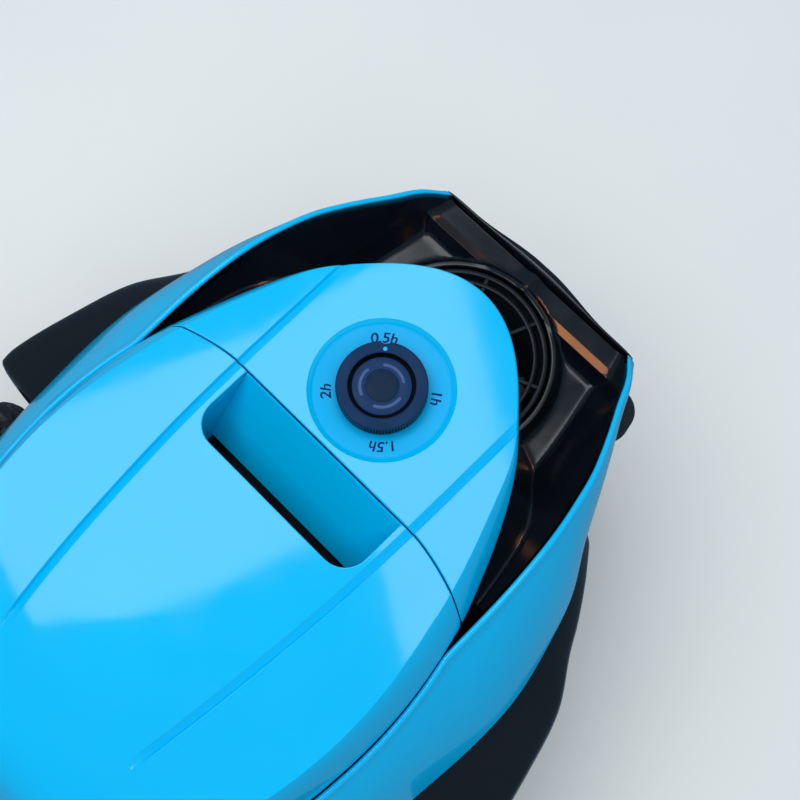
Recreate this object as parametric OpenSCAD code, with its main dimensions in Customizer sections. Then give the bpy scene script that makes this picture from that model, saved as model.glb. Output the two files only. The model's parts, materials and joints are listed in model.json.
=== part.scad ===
// Cordless robotic pool cleaner.
// Frame: nose towards -Y, +X is the machine's left side, +Z up, ground at z = 0.

/* [Hood] */
// Height of the hood's crown above the ground
hood_z = 240; // [232:1:252]
// Y of the nose tip
nose_y = -153; // [-158:1:-148]
// Y of the lid's tail
lid_tail_y = 172; // [168:1:176]
// Largest half width of the hood's lower edge
hood_half = 108; // [104:0.5:109]
// Moulded wall of the hood pieces
hood_wall = 3; // [2:0.25:4]
// Y of the joint between front cap and lid
seam_y = -47.5; // [-52:0.5:-44]
// Gap between front cap and lid
seam_gap = 0.6; // [0.4:0.1:1.2]

/* [Hand grip] */
// Width of the grip cut-out in the lid
grip_w = 102; // [90:1:108]
// Length of the cut-out behind the seam
grip_len = 36.5; // [32:0.5:42]
// Corner radius of the cut-out
grip_r = 13; // [8:1:16]
// Depth of the scoop below the crown
scoop_depth = 36; // [28:1:40]

/* [Dial and button] */
// Distance from the seam forward to the dial's centre
dial_setback = 37.5; // [37:0.5:40]
// Diameter of the shallow dish round the dial
dish_d = 70; // [66:1:72]
// Depth of the dish
dish_depth = 2.5; // [1.5:0.25:3]
// Diameter of the dial
dial_d = 43; // [38:1:48]
// Height of the dial above the dish floor
dial_h = 9; // [7:0.5:12]
// Diameter of the push button
button_d = 28; // [24:1:29]
// Travel of the push button
button_travel = 1.2; // [0.8:0.1:2]

/* [Shell] */
// Half width of the shell's raised rim beside the dial
rim_half = 105; // [104:0.5:107]
// Y of the rim's front corners
rim_front_y = -199; // [-203:1:-197]
// Y where the rim meets the lid
rim_merge_y = -28; // [-32:1:-24]
// Distance from the rear wheels' outer faces in to the shell's lower edge
shell_inset = 37; // [33:1:41]
// Height of the crown above the plane where shell and tub meet
shell_h = 74; // [70:1:78]
// Wall of the cyan shell
shell_wall = 3.2; // [2.5:0.1:4]

/* [Tub] */
// Half width of the tub's straight sides
tub_half = 112; // [108:1:116]
// Y of the tub's flat front
tub_front_y = -194; // [-196:1:-190]
// Y of the tub's flat rear
tub_rear_y = 196; // [190:1:200]
// Underside of the tub above the ground
tub_floor_z = 16; // [14:1:22]
// Wall of the tub
tub_wall = 3; // [2.5:0.25:4]
// Width of the suction mouth
mouth_w = 110; // [90:2:118]
// Length of the suction mouth
mouth_len = 30; // [24:1:36]

/* [Running gear] */
// Diameter of the rear wheels over the tread
rear_wheel_d = 150; // [140:2:156]
// Width of the rear tyres
rear_wheel_w = 38; // [30:1:42]
// Y of the rear axle
rear_axle_y = 115; // [110:1:120]
// Half track to the outer face of the rear wheels
track_half = 180; // [176:1:184]
// Diameter of the front wheels
front_wheel_d = 76; // [70:1:80]
// Width of the front wheels
front_wheel_w = 20; // [16:1:22]
// Y of the front axle
front_axle_y = -42; // [-44:1:-38]
// Diameter of the rear axles
rear_axle_d = 10; // [8:0.5:12]
// Diameter of the front axles
front_axle_d = 8; // [6:0.5:10]
// Diameter of the brush over its blades
brush_d = 46; // [40:1:50]
// Length of the brush
brush_len = 112; // [100:2:116]
// Radial clearance of every running fit
run_clear = 0.05; // [0.02:0.01:0.1]

/* [Pump] */
// Diameter of the outlet
outlet_d = 90; // [84:1:94]
// Y of the pump's axis
pump_y = -137; // [-139:1:-135]
// Diameter of the motor pod
motor_d = 58; // [50:1:62]

/* [Filter] */
// Half width of the filter well
well_half = 70; // [64:1:72]
// Y of the well's front wall
well_front_y = 14; // [12:1:18]
// Y of the well's rear wall
well_rear_y = 116; // [108:1:118]
// Depth of the well's flange, on which the lid closes, below the crown
flange_drop = 28; // [27:0.5:31]

/* [Hidden] */
$fn = 48;

CYAN = "#0bbdec";
GLOSS_BLACK = "#0b1118";
MATT_BLACK = "#1b2026";
SLATE = "#2d4a66";
GREY = "#4a5360";
STEEL = "#b9bec4";
AMBER = "#c9a24a";
GREEN = "#1f6b43";
PALE = "#9fc4de";
BLUE = "#2e7fc0";

split_z = hood_z - shell_h;
flange_z = hood_z - flange_drop;
skirt_line_half = track_half - shell_inset;

seat = 0.3;          // gap between moulded pieces that only lie against each other
mate = 0.1;          // gap between pieces that are pressed or glued together
cut = 1;             // overrun of a cutting shape past the face it cuts
far = 300;           // end of a cut that runs right through
screw_d = 4;
screw_head_d = 7.5;
screw_len = 14;
screw_bite = 13.5;   // depth of the hole in a screw boss

// ---- values: hood, dial and electronics --------------------------------------

dial_y = seam_y - dial_setback;
dish_z = hood_z - dish_depth;      // floor of the dial's dish
dish_floor = 4;                    // material left under the dish
groove_w = 5;
groove_depth = 2.4;
groove_x = 56;                     // where each groove crosses the seam
cap_seat_z = hood_z - 18;          // top of the deck's core, where the front cap stands
CAP_BOSSES = [[52, -62], [47, -80]];
cap_boss_d = 9;
tray_half = 40;
tray_y0 = dial_y - 24;
tray_y1 = dial_y + 33;
board_z0 = cap_seat_z + 1.4;
board_z1 = board_z0 + 1.6;
switch_z1 = board_z1 + 4;
dial_z0 = dish_z + seat;
dial_z1 = dial_z0 + dial_h;
dial_stem_d = 37;
dial_bore_d = 31.4;
MARK_TURN = -50;                   // direction of the mark and its notch from +X
mark_r = 17.6;
mark_d = 1.6;
notch_d = 10;
notch_depth = 1.2;
sleeve_z0 = board_z1 + mate;
sleeve_floor = 2;
sleeve_drop = 3;                   // the sleeve ends this far under the dial's top
spring_h = 4;
spring_wire = 1;
stem_d = 8;                        // stem under the button
button_z0 = sleeve_z0 + sleeve_floor + spring_h + button_travel + seat;
button_z1 = dial_z1 - 1.2;
LIGHTS = [-4, 116, 236];           // where each light window starts
light_span = 72;
light_r = 10.2;
light_w = 1.7;
light_depth = 0.8;

// ---- values: lid, hinge and scoop ----------------------------------------------

hinge_y = lid_tail_y - 14;
hinge_z = hood_z - 37;
hinge_pin_d = 4;
knuckle_d = 8;
knuckle_w = 8;
knuckle_x = 16;                    // inner face of each lid knuckle
hinge_arm_half = knuckle_x - seat;
seal_h = 4;
frame_z0 = flange_z + seal_h + seat;
frame_z1 = frame_z0 + 8;
FRAME_POSTS = [[55, 15], [52, 115]];
scoop_foot_z = hood_z - scoop_depth;
scoop_floor_z = scoop_foot_z - 3;
scoop_y0 = seam_y + seat;
scoop_y1 = seam_y + grip_len - 5;

// ---- values: shell, decks and tub ------------------------------------------------

rim_offset = shell_wall / 2 + 0.7; // middle of the rim outside the lid's edge
rim_tail_y = lid_tail_y + rim_offset;
shell_tail_y = 203;
SHELL_BOSS_Y = [-90, -30, 60, 125];
shell_boss_d = 9;
shell_boss_h = screw_bite + 1.5;
deck_wall = 3;
deck_floor_z = split_z + deck_wall;
collar_z = split_z + 12;           // lip of the pump's outlet
duct_wall = 3;
bore_r = outlet_d / 2 + duct_wall + 1.2;
tunnel_z = 52;                     // roof of the brush tunnel
tunnel_y1 = tub_front_y + 47;
brush_y = tub_front_y + 22;
brush_z = brush_d / 2 + 3;
brush_pin_d = 8;
brush_pin_end = brush_len / 2 + 5.5;
SKID_X = [66, 82];                 // inner faces of the skid rails under the floor
flange_h = 4;
flange_web = 1.2;                  // left under each shell screw's head
axle_z = rear_wheel_d / 2;
axle_boss_d = 26;
bearing_d = 18;
wheel_inner_x = track_half - rear_wheel_w;
boss_end_x = wheel_inner_x - 3;
front_wheel_x = tub_half + 2.5;
roller_d = 28;
roller_h = 22;
roller_x = 73;
roller_y = -183;
roller_z = split_z - 34;
roller_pin_d = 4;
skirt_y0 = -128;
skirt_y1 = 37;
skirt_wall = 3;
skirt_foot_z = 30;
skirt_waist_z = split_z - 71;      // the pod's wall leans in below this height
skirt_shoulder_z = split_z - 23;   // and rounds over to its top above this one
skid_y0 = -120;
bumper_front_y = -210;
bumper_z0 = split_z - 61;
guard_rear_y = 210;
guard_z0 = split_z - 44;
guard_z1 = split_z - 12;

// ---- values: pump, filter, battery and socket ------------------------------------

outlet_z = collar_z - 3;           // underside of the outlet's grille
duct_z0 = tunnel_z + tub_wall + seat;
pod_z0 = duct_z0 + 6;
pod_z1 = pod_z0 + 52;
pod_wall = 2.5;
shaft_d = 6;
shaft_seal_d = 12;
hub_z0 = pod_z1 + 6;
hub_d = 20;
hub_h = 18;
well_floor_z = 60;
well_wall = 3;
well_lip = 8;                      // flange outside the well's walls
duct_room_y = seam_y + 1.5;        // front wall of the room under the scoop
throat_half = mouth_w / 2;
mouth_y0 = 46;
throat_y0 = mouth_y0 - 2;
throat_y1 = mouth_y0 + mouth_len + 2;
basket_gap = 1;
basket_half = well_half - well_wall - basket_gap;
basket_y0 = well_front_y + basket_gap;
basket_y1 = well_rear_y - well_wall - basket_gap;
basket_z0 = well_floor_z + well_wall + 0.5;
basket_z1 = flange_z - 4;
basket_wall = 3;
window_w = 22;
mesh_t = 0.8;
handle_d = 4;
handle_y = (basket_y0 + basket_y1) / 2;
handle_z = basket_z1 - 6;
handle_half = basket_half - basket_wall - 3.5;
handle_reach = 27;
flap_pin_d = 3;
flap_knuckle_d = 6;
flap_y = throat_y0 + 0.5;
flap_z = basket_z0 + basket_wall + 3.4;
battery_half = 60;
battery_y0 = -80;
battery_y1 = 8;
battery_z0 = tub_floor_z + tub_wall;
battery_z1 = 74;
battery_wall = 2.5;
battery_seal_h = 1.5;
cell_d = 18.3;
cell_pitch = 18.8;
cell_h = 47.4;
charge_d = 20;
charge_bore_d = 9;
charge_z = split_z - 70;
cap_hinge_y = tub_rear_y + 3;
cap_hinge_z = charge_z + 17;
cap_pin_d = 2;
gearmotor_d = 36;
gearmotor_x1 = tub_half - tub_wall - seat;
tyre_bore = rear_wheel_d / 2 - 11; // radius of the wheel's rim under the tyre
TREADS = 28;
tread_gap = 4.4;
tread_depth = 3.2;
tread_rib = 4;

// ---- curves that the shells follow ------------------------------------------

// Slope of a table at one of its points
function table_slope(t, i) =
    let (a = max(i - 1, 0), b = min(i + 1, len(t) - 1))
    (t[b][1] - t[a][1]) / (t[b][0] - t[a][0]);

// Smooth curve through a table of [station, value] pairs
function curve(s, t) =
    let (
        i = max([0, for (k = [0:len(t) - 2]) if (t[k][0] <= s) k]),
        h = t[i + 1][0] - t[i][0],
        u = min(max((s - t[i][0]) / h, 0), 1),
        v = 1 - u
    )
    t[i][1] * (1 + 2 * u) * v * v + table_slope(t, i) * h * u * v * v
    + t[i + 1][1] * u * u * (3 - 2 * u) - table_slope(t, i + 1) * h * u * u * v;

// Half width that closes round where the table reaches zero: squares are interpolated
function round_width(s, t) =
    sqrt(max(0, curve(s, [for (p = t) [p[0], p[1] * p[1]]])));

// Share of the way from a to b, in percent
function share(y, a, b) = 100 * (y - a) / (b - a);

// Percent of the hood's length against percent of its half width, then against
// the bevel's width, the lip's drop and the crown's drop in millimetres
HOOD_PLAN = [[0, 0], [9, 47], [15, 63], [21, 74], [30, 86], [38, 94], [50, 100],
             [62, 100], [75, 94], [86, 79], [95, 51], [100, 0]];
HOOD_BEVEL = [[0, 1], [12, 1.5], [21, 6.5], [30, 9], [40, 11], [60, 10], [90, 10], [100, 2]];
HOOD_SIDE = [[0, 1.5], [9, 3], [15, 7], [21, 12.5], [30, 17.5], [45, 20], [60, 24], [80, 31],
             [100, 44]];
HOOD_CROWN = [[0, 0], [60, 0], [75, 2], [88, 9], [95, 19], [100, 42]];
// Percent of the way from the rim's front to the lid against percent of half width, and drop
RIM_PLAN = [[0, 61], [7, 69], [16, 75.5], [26, 83], [37, 90], [47, 94], [57, 97],
            [69, 99], [82, 100], [100, 100]];
RIM_DROP = [[0, 59], [7, 50], [16, 43], [26, 35.5], [37, 28], [47, 23], [57, 20],
            [69, 18], [82, 17.5], [100, 18.8]];
// Percent of length against percent of half width
SHELL_PLAN = [[0, 46.5], [7, 57], [13, 67], [21, 79.5], [26, 88], [31, 93], [40, 99],
              [47, 100], [55, 98.5], [65, 95], [78, 85], [90, 66], [97, 38], [100, 0]];
TUB_PLAN = [[0, 52], [8, 72], [17, 84], [28, 94], [40, 100], [86, 100], [92, 90],
            [97, 70], [100, 48]];
SKIRT_PLAN = [[0, 62], [13, 71], [24, 77.5], [33, 82], [48, 90.5], [66, 95.5], [90, 100],
              [100, 99]];
// Y against the half width of the deck's core, both in millimetres
CORE_HALF = [[-145, -60], [-125, -10], [-112, 20], [-104, 38], [-92, 58], [-75, 72], [-40, 86]];

function hood_share(y) = share(y, nose_y, lid_tail_y);
function hood_edge(y) = hood_half / 100 * round_width(hood_share(y), HOOD_PLAN);
function hood_bevel(y) = min(curve(hood_share(y), HOOD_BEVEL), 0.4 * hood_edge(y));
function hood_crown(y) = hood_z - curve(hood_share(y), HOOD_CROWN);
function hood_lip(y) = hood_z - curve(hood_share(y), HOOD_SIDE);
function rim_share(y) = share(y, rim_front_y, rim_merge_y);
function rim_half_at(y) = y > rim_merge_y
    ? (hood_half + rim_offset) / 100 * round_width(share(y, nose_y, rim_tail_y), HOOD_PLAN)
    : rim_half / 100 * curve(rim_share(y), RIM_PLAN);
function rim_z_at(y) = y > rim_merge_y
    ? hood_lip(y) - 0.5
    : hood_z - curve(rim_share(y), RIM_DROP);
function shell_half_at(y) =
    skirt_line_half / 100 * round_width(share(y, rim_front_y, shell_tail_y), SHELL_PLAN);

// Place of a screw boss that just meets the leaning wall at the boss's top
function shell_boss(y) =
    let (lean = shell_boss_h / (rim_z_at(y) - split_z), bulge = 2, bite = 1)
    [shell_half_at(y) + lean * (rim_half_at(y) - shell_half_at(y))
     + bulge - shell_wall - shell_boss_d / 2 + bite, y];
SHELL_BOSSES = [for (y = SHELL_BOSS_Y) shell_boss(y)];

function tub_half_at(y) = tub_half / 100 * curve(share(y, tub_front_y, tub_rear_y), TUB_PLAN);

// ---- shared shapes --------------------------------------------------------------

// Closed skin over a row of rings that have the same number of points
module skin(rings) {
    n = len(rings[0]);
    last = len(rings) - 1;
    polyhedron(
        points = [for (ring = rings) each ring],
        faces = concat(
            [[for (i = [n - 1:-1:0]) i]],
            [for (k = [0:last - 1], i = [0:n - 1])
                let (j = (i + 1) % n) [k * n + i, k * n + j, (k + 1) * n + j, (k + 1) * n + i]],
            [[for (i = [0:n - 1]) last * n + i]]),
        convexity = 6);
}

// Sheet of even thickness under a grid of top points, row by row along Y
module sheet(rows, thick) {
    n = len(rows[0]);
    m = len(rows);
    top = [for (row = rows) each row];
    low = [for (p = top) [p[0], p[1], p[2] - thick]];
    q = n * m;
    cells = [for (i = [0:m - 2], j = [0:n - 2]) i * n + j];
    polyhedron(points = concat(top, low), faces = concat(
        [for (c = cells) [c, c + n, c + n + 1]],
        [for (c = cells) [c, c + n + 1, c + 1]],
        [for (c = cells) [q + c, q + c + n + 1, q + c + n]],
        [for (c = cells) [q + c, q + c + 1, q + c + n + 1]],
        [for (i = [0:m - 2]) let (c = i * n) [c, q + c, q + c + n, c + n]],
        [for (i = [1:m - 1]) let (c = i * n - 1) [c, c + n, q + c + n, q + c]],
        [for (c = [0:n - 2]) [c, c + 1, q + c + 1, q + c]],
        [for (j = [0:n - 2]) let (c = q - n + j) [c, q + c, q + c + 1, c + 1]]),
        convexity = 8);
}

// Box between two corners
module box(a, b) {
    translate(a) cube(b - a);
}

// Round bar along X between two X values
module bar_x(d, x0, x1, y, z) {
    translate([x0, y, z]) rotate([0, 90, 0]) cylinder(d = d, h = x1 - x0);
}

// Round bar along Y between two Y values
module bar_y(d, y0, y1, x, z) {
    translate([x, y1, z]) rotate([90, 0, 0]) cylinder(d = d, h = y1 - y0);
}

// Round post along Z between two heights
module post(d, z0, z1, x, y) {
    translate([x, y, z0]) cylinder(d = d, h = z1 - z0);
}

// Upright tube between two heights
module tube(outer_d, inner_d, z0, z1, x, y) {
    difference() {
        post(outer_d, z0, z1, x, y);
        post(inner_d, z0 - cut, z1 + cut, x, y);
    }
}

// Turned body along X: profile points are [radius, distance from x]
module turned_x(x, y, z, facets, profile) {
    translate([x, y, z]) rotate([0, 90, 0]) rotate_extrude($fn = facets) polygon(profile);
}

// Plate of even thickness across X, from a profile of [y, z] points
module slab_x(x0, x1, profile) {
    translate([x0, 0, 0]) rotate([90, 0, 90]) linear_extrude(x1 - x0) polygon(profile);
}

// Child drawn for one side: 1 is the left side, -1 the right side
module side(s) {
    mirror([s < 0 ? 1 : 0, 0, 0]) children();
}

module both_sides() {
    for (s = [1, -1]) side(s) children();
}

// Rectangle with rounded corners
module soft_rect(a, b, r) {
    polygon([
        for (c = [[b[0] - r, b[1] - r, 0], [a[0] + r, b[1] - r, 90],
                  [a[0] + r, a[1] + r, 180], [b[0] - r, a[1] + r, 270]], k = [0:6])
            [c[0] + r * cos(c[2] + 15 * k), c[1] + r * sin(c[2] + 15 * k)]]);
}

// Plate with rounded vertical edges between two corners
module soft_plate(a, b, r) {
    translate([0, 0, a[2]]) linear_extrude(b[2] - a[2]) soft_rect(a, b, r);
}

// Open-ended frame with rounded corners
module soft_frame(a, b, wall, r) {
    difference() {
        soft_plate(a, b, r);
        soft_plate([a[0] + wall, a[1] + wall, a[2] - cut], [b[0] - wall, b[1] - wall, b[2] + cut],
                   max(r - wall, 2));
    }
}

// Tray with a floor, open at the top
module soft_tray(a, b, wall, floor, r) {
    difference() {
        soft_plate(a, b, r);
        soft_plate([a[0] + wall, a[1] + wall, a[2] + floor], [b[0] - wall, b[1] - wall, b[2] + cut],
                   max(r - wall, 2));
    }
}

// Plate with the outline of one side, mirrored to the other
module mirrored_plate(z0, z1, outline) {
    n = len(outline);
    translate([0, 0, z0]) linear_extrude(z1 - z0) polygon(concat(
        outline, [for (i = [n - 1:-1:0]) if (outline[i][0] > 0) [-outline[i][0], outline[i][1]]]));
}

// ---- hood -------------------------------------------------------------------------

// Drop of the hood's flat top from its middle to its edge
function hood_camber(half) = 2 * min(1, pow(half / 80, 2));

// Hood's section at one station, from the lip up to the crown
function hood_outer(y) =
    let (w = hood_edge(y), b = hood_bevel(y), zc = hood_crown(y), zl = hood_lip(y),
         camber = hood_camber(w - b), ze = zc - camber)
    [[w, zl], [w - 0.4 * b, zl + 0.55 * (ze - zl)], [w - b, ze],
     [0.6 * (w - b), zc - 0.36 * camber], [0, zc]];

// The same section from the right lip over the crown to the left lip
function hood_row(y) =
    let (o = hood_outer(y), n = len(o))
    concat([for (p = o) [-p[0], y, p[1]]], [for (k = [n - 2:-1:0]) [o[k][0], y, o[k][1]]]);

// Hood between two stations, with the stations closer together at its round end
module hood_skin(y0, y1, steps, round_front) {
    sheet([for (k = [0:steps])
        let (f = round_front ? 1 - cos(90 * k / steps) : sin(90 * k / steps))
        hood_row(y0 + (y1 - y0) * f)], hood_wall);
}

// Height of the hood's underside at one plan point on its flat top
function hood_under(x, y) =
    let (half = hood_edge(y) - hood_bevel(y) - hood_wall, u = abs(x) / half,
         drop = u < 0.6 ? 0.6 * u : 0.36 + 1.6 * (u - 0.6))
    hood_crown(y) - hood_wall - hood_camber(half) * drop;

// V-shaped groove pressed into the hood's top between two plan points
module groove(a, b) {
    run = b - a;
    translate([a[0], a[1], hood_z]) rotate([0, 0, atan2(run[1], run[0])]) rotate([90, 0, 90])
        linear_extrude(norm(run))
            polygon([[-groove_w / 2, 1], [0, -groove_depth], [groove_w / 2, 1]]);
}

module front_cap() {
    color(CYAN) difference() {
        union() {
            hood_skin(nose_y + seat / 2, seam_y, 14, true);
            post(2 * dial_setback, dish_z - dish_floor, hood_z - 1.5, 0, dial_y);
        }
        post(dish_d, dish_z, far, 0, dial_y);
        post(dial_stem_d + 1, dish_z - dish_floor - cut, hood_z, 0, dial_y);
        both_sides() groove([groove_x, seam_y + 1], [groove_x + 2, nose_y + 50]);
    }
}

module top_lid() {
    color(CYAN) difference() {
        hood_skin(seam_y + seam_gap, lid_tail_y - seat / 2, 18, false);
        translate([0, 0, scoop_floor_z]) linear_extrude(far - scoop_floor_z)
            soft_rect([-grip_w / 2, seam_y - grip_r - 2], [grip_w / 2, seam_y + grip_len], grip_r);
        both_sides() groove([groove_x, seam_y - 1], [44, rear_axle_y - 10]);
    }
}

// Frame fixed under the lid: presses on the seal and carries the hinge knuckles
module lid_frame() {
    color(MATT_BLACK) difference() {
        union() {
            soft_frame([-well_half - 4, well_front_y - 4, frame_z0],
                       [well_half + 4, well_rear_y + 4, frame_z1], 10, 12);
            both_sides() {
                for (p = FRAME_POSTS)
                    post(6, frame_z1 - 1, hood_under(p[0], p[1]) - 0.8, p[0], p[1]);
                slab_x(knuckle_x, knuckle_x + knuckle_w, lid_arm());
                bar_x(knuckle_d, knuckle_x, knuckle_x + knuckle_w, hinge_y, hinge_z);
            }
        }
        bar_x(hinge_pin_d + 2 * run_clear, -far, far, hinge_y, hinge_z);
    }
}

// Side view of the arm from the frame back to a hinge knuckle, following the lid
function lid_arm() = concat(
    [[hinge_y - knuckle_d / 2, hinge_z], [well_rear_y + 12, frame_z0], [well_rear_y - 4, frame_z0]],
    [for (y = [well_rear_y - 4:6:hinge_y + 4])
        [y, min(frame_z1, hood_under(knuckle_x, y) - 1.2)]],
    [[hinge_y + knuckle_d / 2, hinge_z]]);

module lid_hinge_pin() {
    half = knuckle_x + knuckle_w + 2;
    color(STEEL) bar_x(hinge_pin_d, -half, half, hinge_y, hinge_z);
}

module lid_seal() {
    color(MATT_BLACK)
        soft_frame([-well_half - 5.5, well_front_y - 5.5, flange_z],
                   [well_half + 5.5, well_rear_y + 5.5, flange_z + seal_h], 6, 11);
}

// Sloping wall of the hand grip with a cheek at each end
module grip_scoop() {
    half = grip_w / 2 - 2 * seat;
    top_z = hood_z - 1.2;
    under_z = top_z - hood_wall;
    color(CYAN) {
        slab_x(-half, half,
               [[scoop_y0, top_z], [scoop_y0 + 0.8, top_z], [scoop_y1, scoop_foot_z],
                [scoop_y1, scoop_floor_z], [scoop_y1 - 2, scoop_floor_z], [scoop_y0, top_z - 4]]);
        both_sides()
            slab_x(half - 0.5, half + 3,
                   [[scoop_y0, under_z], [scoop_y1 + 3, under_z], [scoop_y1 + 3, scoop_floor_z],
                    [scoop_y1 - 2, scoop_floor_z], [scoop_y0, top_z - 4]]);
    }
}

// ---- outer shell --------------------------------------------------------------------

// Section through the shell's wall on the left side, as a share of the way to the tail
function shell_ring(t) =
    let (
        f = sin(90 * t),
        yr = rim_front_y + (rim_tail_y - rim_front_y) * f,
        yl = rim_front_y + (shell_tail_y - rim_front_y) * f,
        xr = rim_half_at(yr), xl = shell_half_at(yl), zr = rim_z_at(yr),
        n = max(f * f * f - 0.6, 0) / 0.4,
        w = shell_wall / 2, wx = w * (1 - n), wy = w * n,
        ym = (yr + yl) / 2, xm = (xr + xl) / 2 + 3 * (1 - n), zm = (zr + split_z) / 2 + 2
    )
    [[xr + wx, yr + wy, zr - 0.6], [xr, yr, zr], [xr - wx, yr - wy, zr - 0.6],
     [xm - 2 * wx, ym - 2 * wy, zm - w], [xl - 2 * wx, yl - 2 * wy, split_z],
     [xl, yl, split_z], [xm, ym + wy, zm]];

// Wall swept from the left front corner round the tail to the right front corner
module shell_skin() {
    steps = 26;
    skin(concat(
        [for (k = [0:steps]) shell_ring(k / steps)],
        [for (k = [steps - 1:-1:0]) [for (p = shell_ring(k / steps)) [-p[0], p[1], p[2]]]]));
}

module outer_shell() {
    color(CYAN) difference() {
        union() {
            shell_skin();
            for (p = SHELL_BOSSES) both_sides() boss_with_web(p);
        }
        for (p = SHELL_BOSSES) both_sides()
            post(screw_d + mate, split_z - cut, split_z + screw_bite, p[0], p[1]);
    }
}

// Screw boss with a web that ties it to the wall
module boss_with_web(p) {
    edge = shell_half_at(p[1]) - shell_wall - 1;
    post(shell_boss_d, split_z, split_z + shell_boss_h, p[0], p[1]);
    box([p[0], p[1] - 1.5, split_z], [edge, p[1] + 1.5, split_z + 8]);
}

// ---- decks ----------------------------------------------------------------------------

// Top of the black deck at one plan point: trough, outer wall, core, front and outlet lip
function deck_top(x, y) =
    let (
        u = abs(x),
        past_bore = norm([x, y - pump_y]) - bore_r,
        wall = rim_z_at(y) - 2 - 1.7 * max(rim_half_at(y) - shell_wall / 2 - u, 0),
        core = min(cap_seat_z, cap_seat_z - 0.72 * (u - curve(y, CORE_HALF)),
                   collar_z + 3 * past_bore),
        lip = collar_z - 0.9 * max(past_bore - 3, 0),
        front = deck_floor_z + 7 - 1.5 * (y - tub_front_y - 2)
    )
    max(deck_floor_z, wall, core, front, lip);

module inner_deck() {
    rows = 20;
    half_cells = 16;
    y0 = tub_front_y + 0.5;
    y1 = seam_y - 0.5;
    color(GLOSS_BLACK) difference() {
        sheet([for (i = [0:rows])
            let (y = y0 + (y1 - y0) * i / rows, half = rim_half_at(y) - shell_wall / 2 - 1.2)
            [for (j = [-half_cells:half_cells])
                let (x = half * j / half_cells) [x, y, deck_top(x, y)]]], deck_wall);
        post(2 * bore_r - 1, tunnel_z, far, 0, pump_y);
        for (p = CAP_BOSSES) both_sides() post(screw_d + 2 * mate, collar_z, far, p[0], p[1]);
    }
}

// Rear deck round the filter well, following the rim down towards the tail
module rear_deck() {
    rows = 12;
    y0 = seam_y;
    y1 = hinge_y - 10;
    hinge_room = knuckle_x + knuckle_w + 4;
    color(GLOSS_BLACK) difference() {
        sheet([for (i = [0:rows])
            let (y = y0 + (y1 - y0) * sin(90 * i / rows), half = rim_half_at(y) - shell_wall - 2,
                 z = min(flange_z - 3 - seat, rim_z_at(y) - 8))
            [for (j = [-1:1]) [half * j, y, z]]], 2.5);
        box([-well_half - seat, y0 - cut, split_z], [well_half + seat, well_rear_y + seat, far]);
        box([-hinge_room, well_rear_y, split_z], [hinge_room, hinge_y, far]);
    }
}

// ---- tub ------------------------------------------------------------------------------

module tub_prism(z0, z1, inset) {
    steps = 20;
    run = tub_rear_y - tub_front_y - 2 * inset;
    mirrored_plate(z0, z1, [for (k = [0:steps])
        let (y = tub_front_y + inset + run * k / steps) [tub_half_at(y) - 1.08 * inset, y]]);
}

module flange_plate(z0, z1, inset) {
    steps = 26;
    run = shell_tail_y - rim_front_y;
    mirrored_plate(z0, z1, [for (k = [0:steps])
        let (y = rim_front_y + (run - inset) * sin(90 * k / steps))
        [max(shell_half_at(y + inset * (y - rim_front_y) / run) - inset, 0), y]]);
}

module chassis_tub() {
    color(MATT_BLACK) difference() {
        union() {
            difference() {
                union() {
                    tub_prism(tub_floor_z, split_z, 0);
                    flange_plate(split_z - flange_h, split_z, 0.5);
                }
                tub_prism(tub_floor_z + tub_wall, split_z + cut, tub_wall);
            }
            tub_additions();
        }
        tub_cuts();
    }
}

// Brush tunnel, skids, axle bosses, rear shelf and roller forks
module tub_additions() {
    tunnel_half = brush_len / 2 + 7;
    box([-tunnel_half, tub_front_y + 1, tub_floor_z],
        [tunnel_half, tunnel_y1 + tub_wall, tunnel_z + tub_wall]);
    intersection() {
        tub_prism(split_z - flange_h, split_z, 1);
        box([-tub_half, well_rear_y + 1, 0], [tub_half, tub_rear_y, split_z]);
    }
    both_sides() {
        for (x = SKID_X)
            box([x, skid_y0, tub_floor_z - 4], [x + 4, tub_rear_y - 50, tub_floor_z + 1]);
        bar_x(axle_boss_d, tub_half - tub_wall, boss_end_x, rear_axle_y, axle_z);
        roller_bracket();
    }
}

// Brush bay, suction mouth, bearing seats, screw holes, roller pockets and socket hole
module tub_cuts() {
    box([-brush_len / 2 - 2, tub_front_y - 5, 0], [brush_len / 2 + 2, tunnel_y1, tunnel_z]);
    bar_x(brush_pin_d + 2 * run_clear, -brush_pin_end - 0.5, brush_pin_end + 0.5, brush_y, brush_z);
    box([-throat_half, mouth_y0, 0], [throat_half, mouth_y0 + mouth_len, tub_floor_z + 9]);
    bar_y(charge_d + mate, tub_rear_y - 9, tub_rear_y + 9, 0, charge_z);
    both_sides() {
        bar_x(bearing_d + mate, tub_half - 9, track_half, rear_axle_y, axle_z);
        bar_x(front_axle_d + mate, tub_half - 9, track_half, front_axle_y, front_wheel_d / 2);
        post(roller_pin_d + mate, bumper_z0, split_z + cut, roller_x, roller_y);
        post(roller_d + 5, roller_z - roller_h / 2 - 0.5, roller_z + roller_h / 2 + 0.5,
             roller_x, roller_y);
        for (p = SHELL_BOSSES) {
            post(screw_d + 2 * mate, split_z - 2 * flange_h, split_z + cut, p[0], p[1]);
            post(screw_head_d + 1, split_z - 2 * flange_h, split_z - flange_web, p[0], p[1]);
        }
    }
}

// Fork that carries one bumper roller at the front corner
module roller_bracket() {
    for (z = [roller_z - roller_h / 2 - 4.5, roller_z + roller_h / 2 + 0.5]) difference() {
        union() {
            post(14, z, z + 4, roller_x, roller_y);
            box([roller_x - 24, roller_y, z], [roller_x, roller_y + 8, z + 4]);
        }
        tub_prism(z - cut, z + 4 + cut, tub_wall - 0.5);
    }
}

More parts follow.
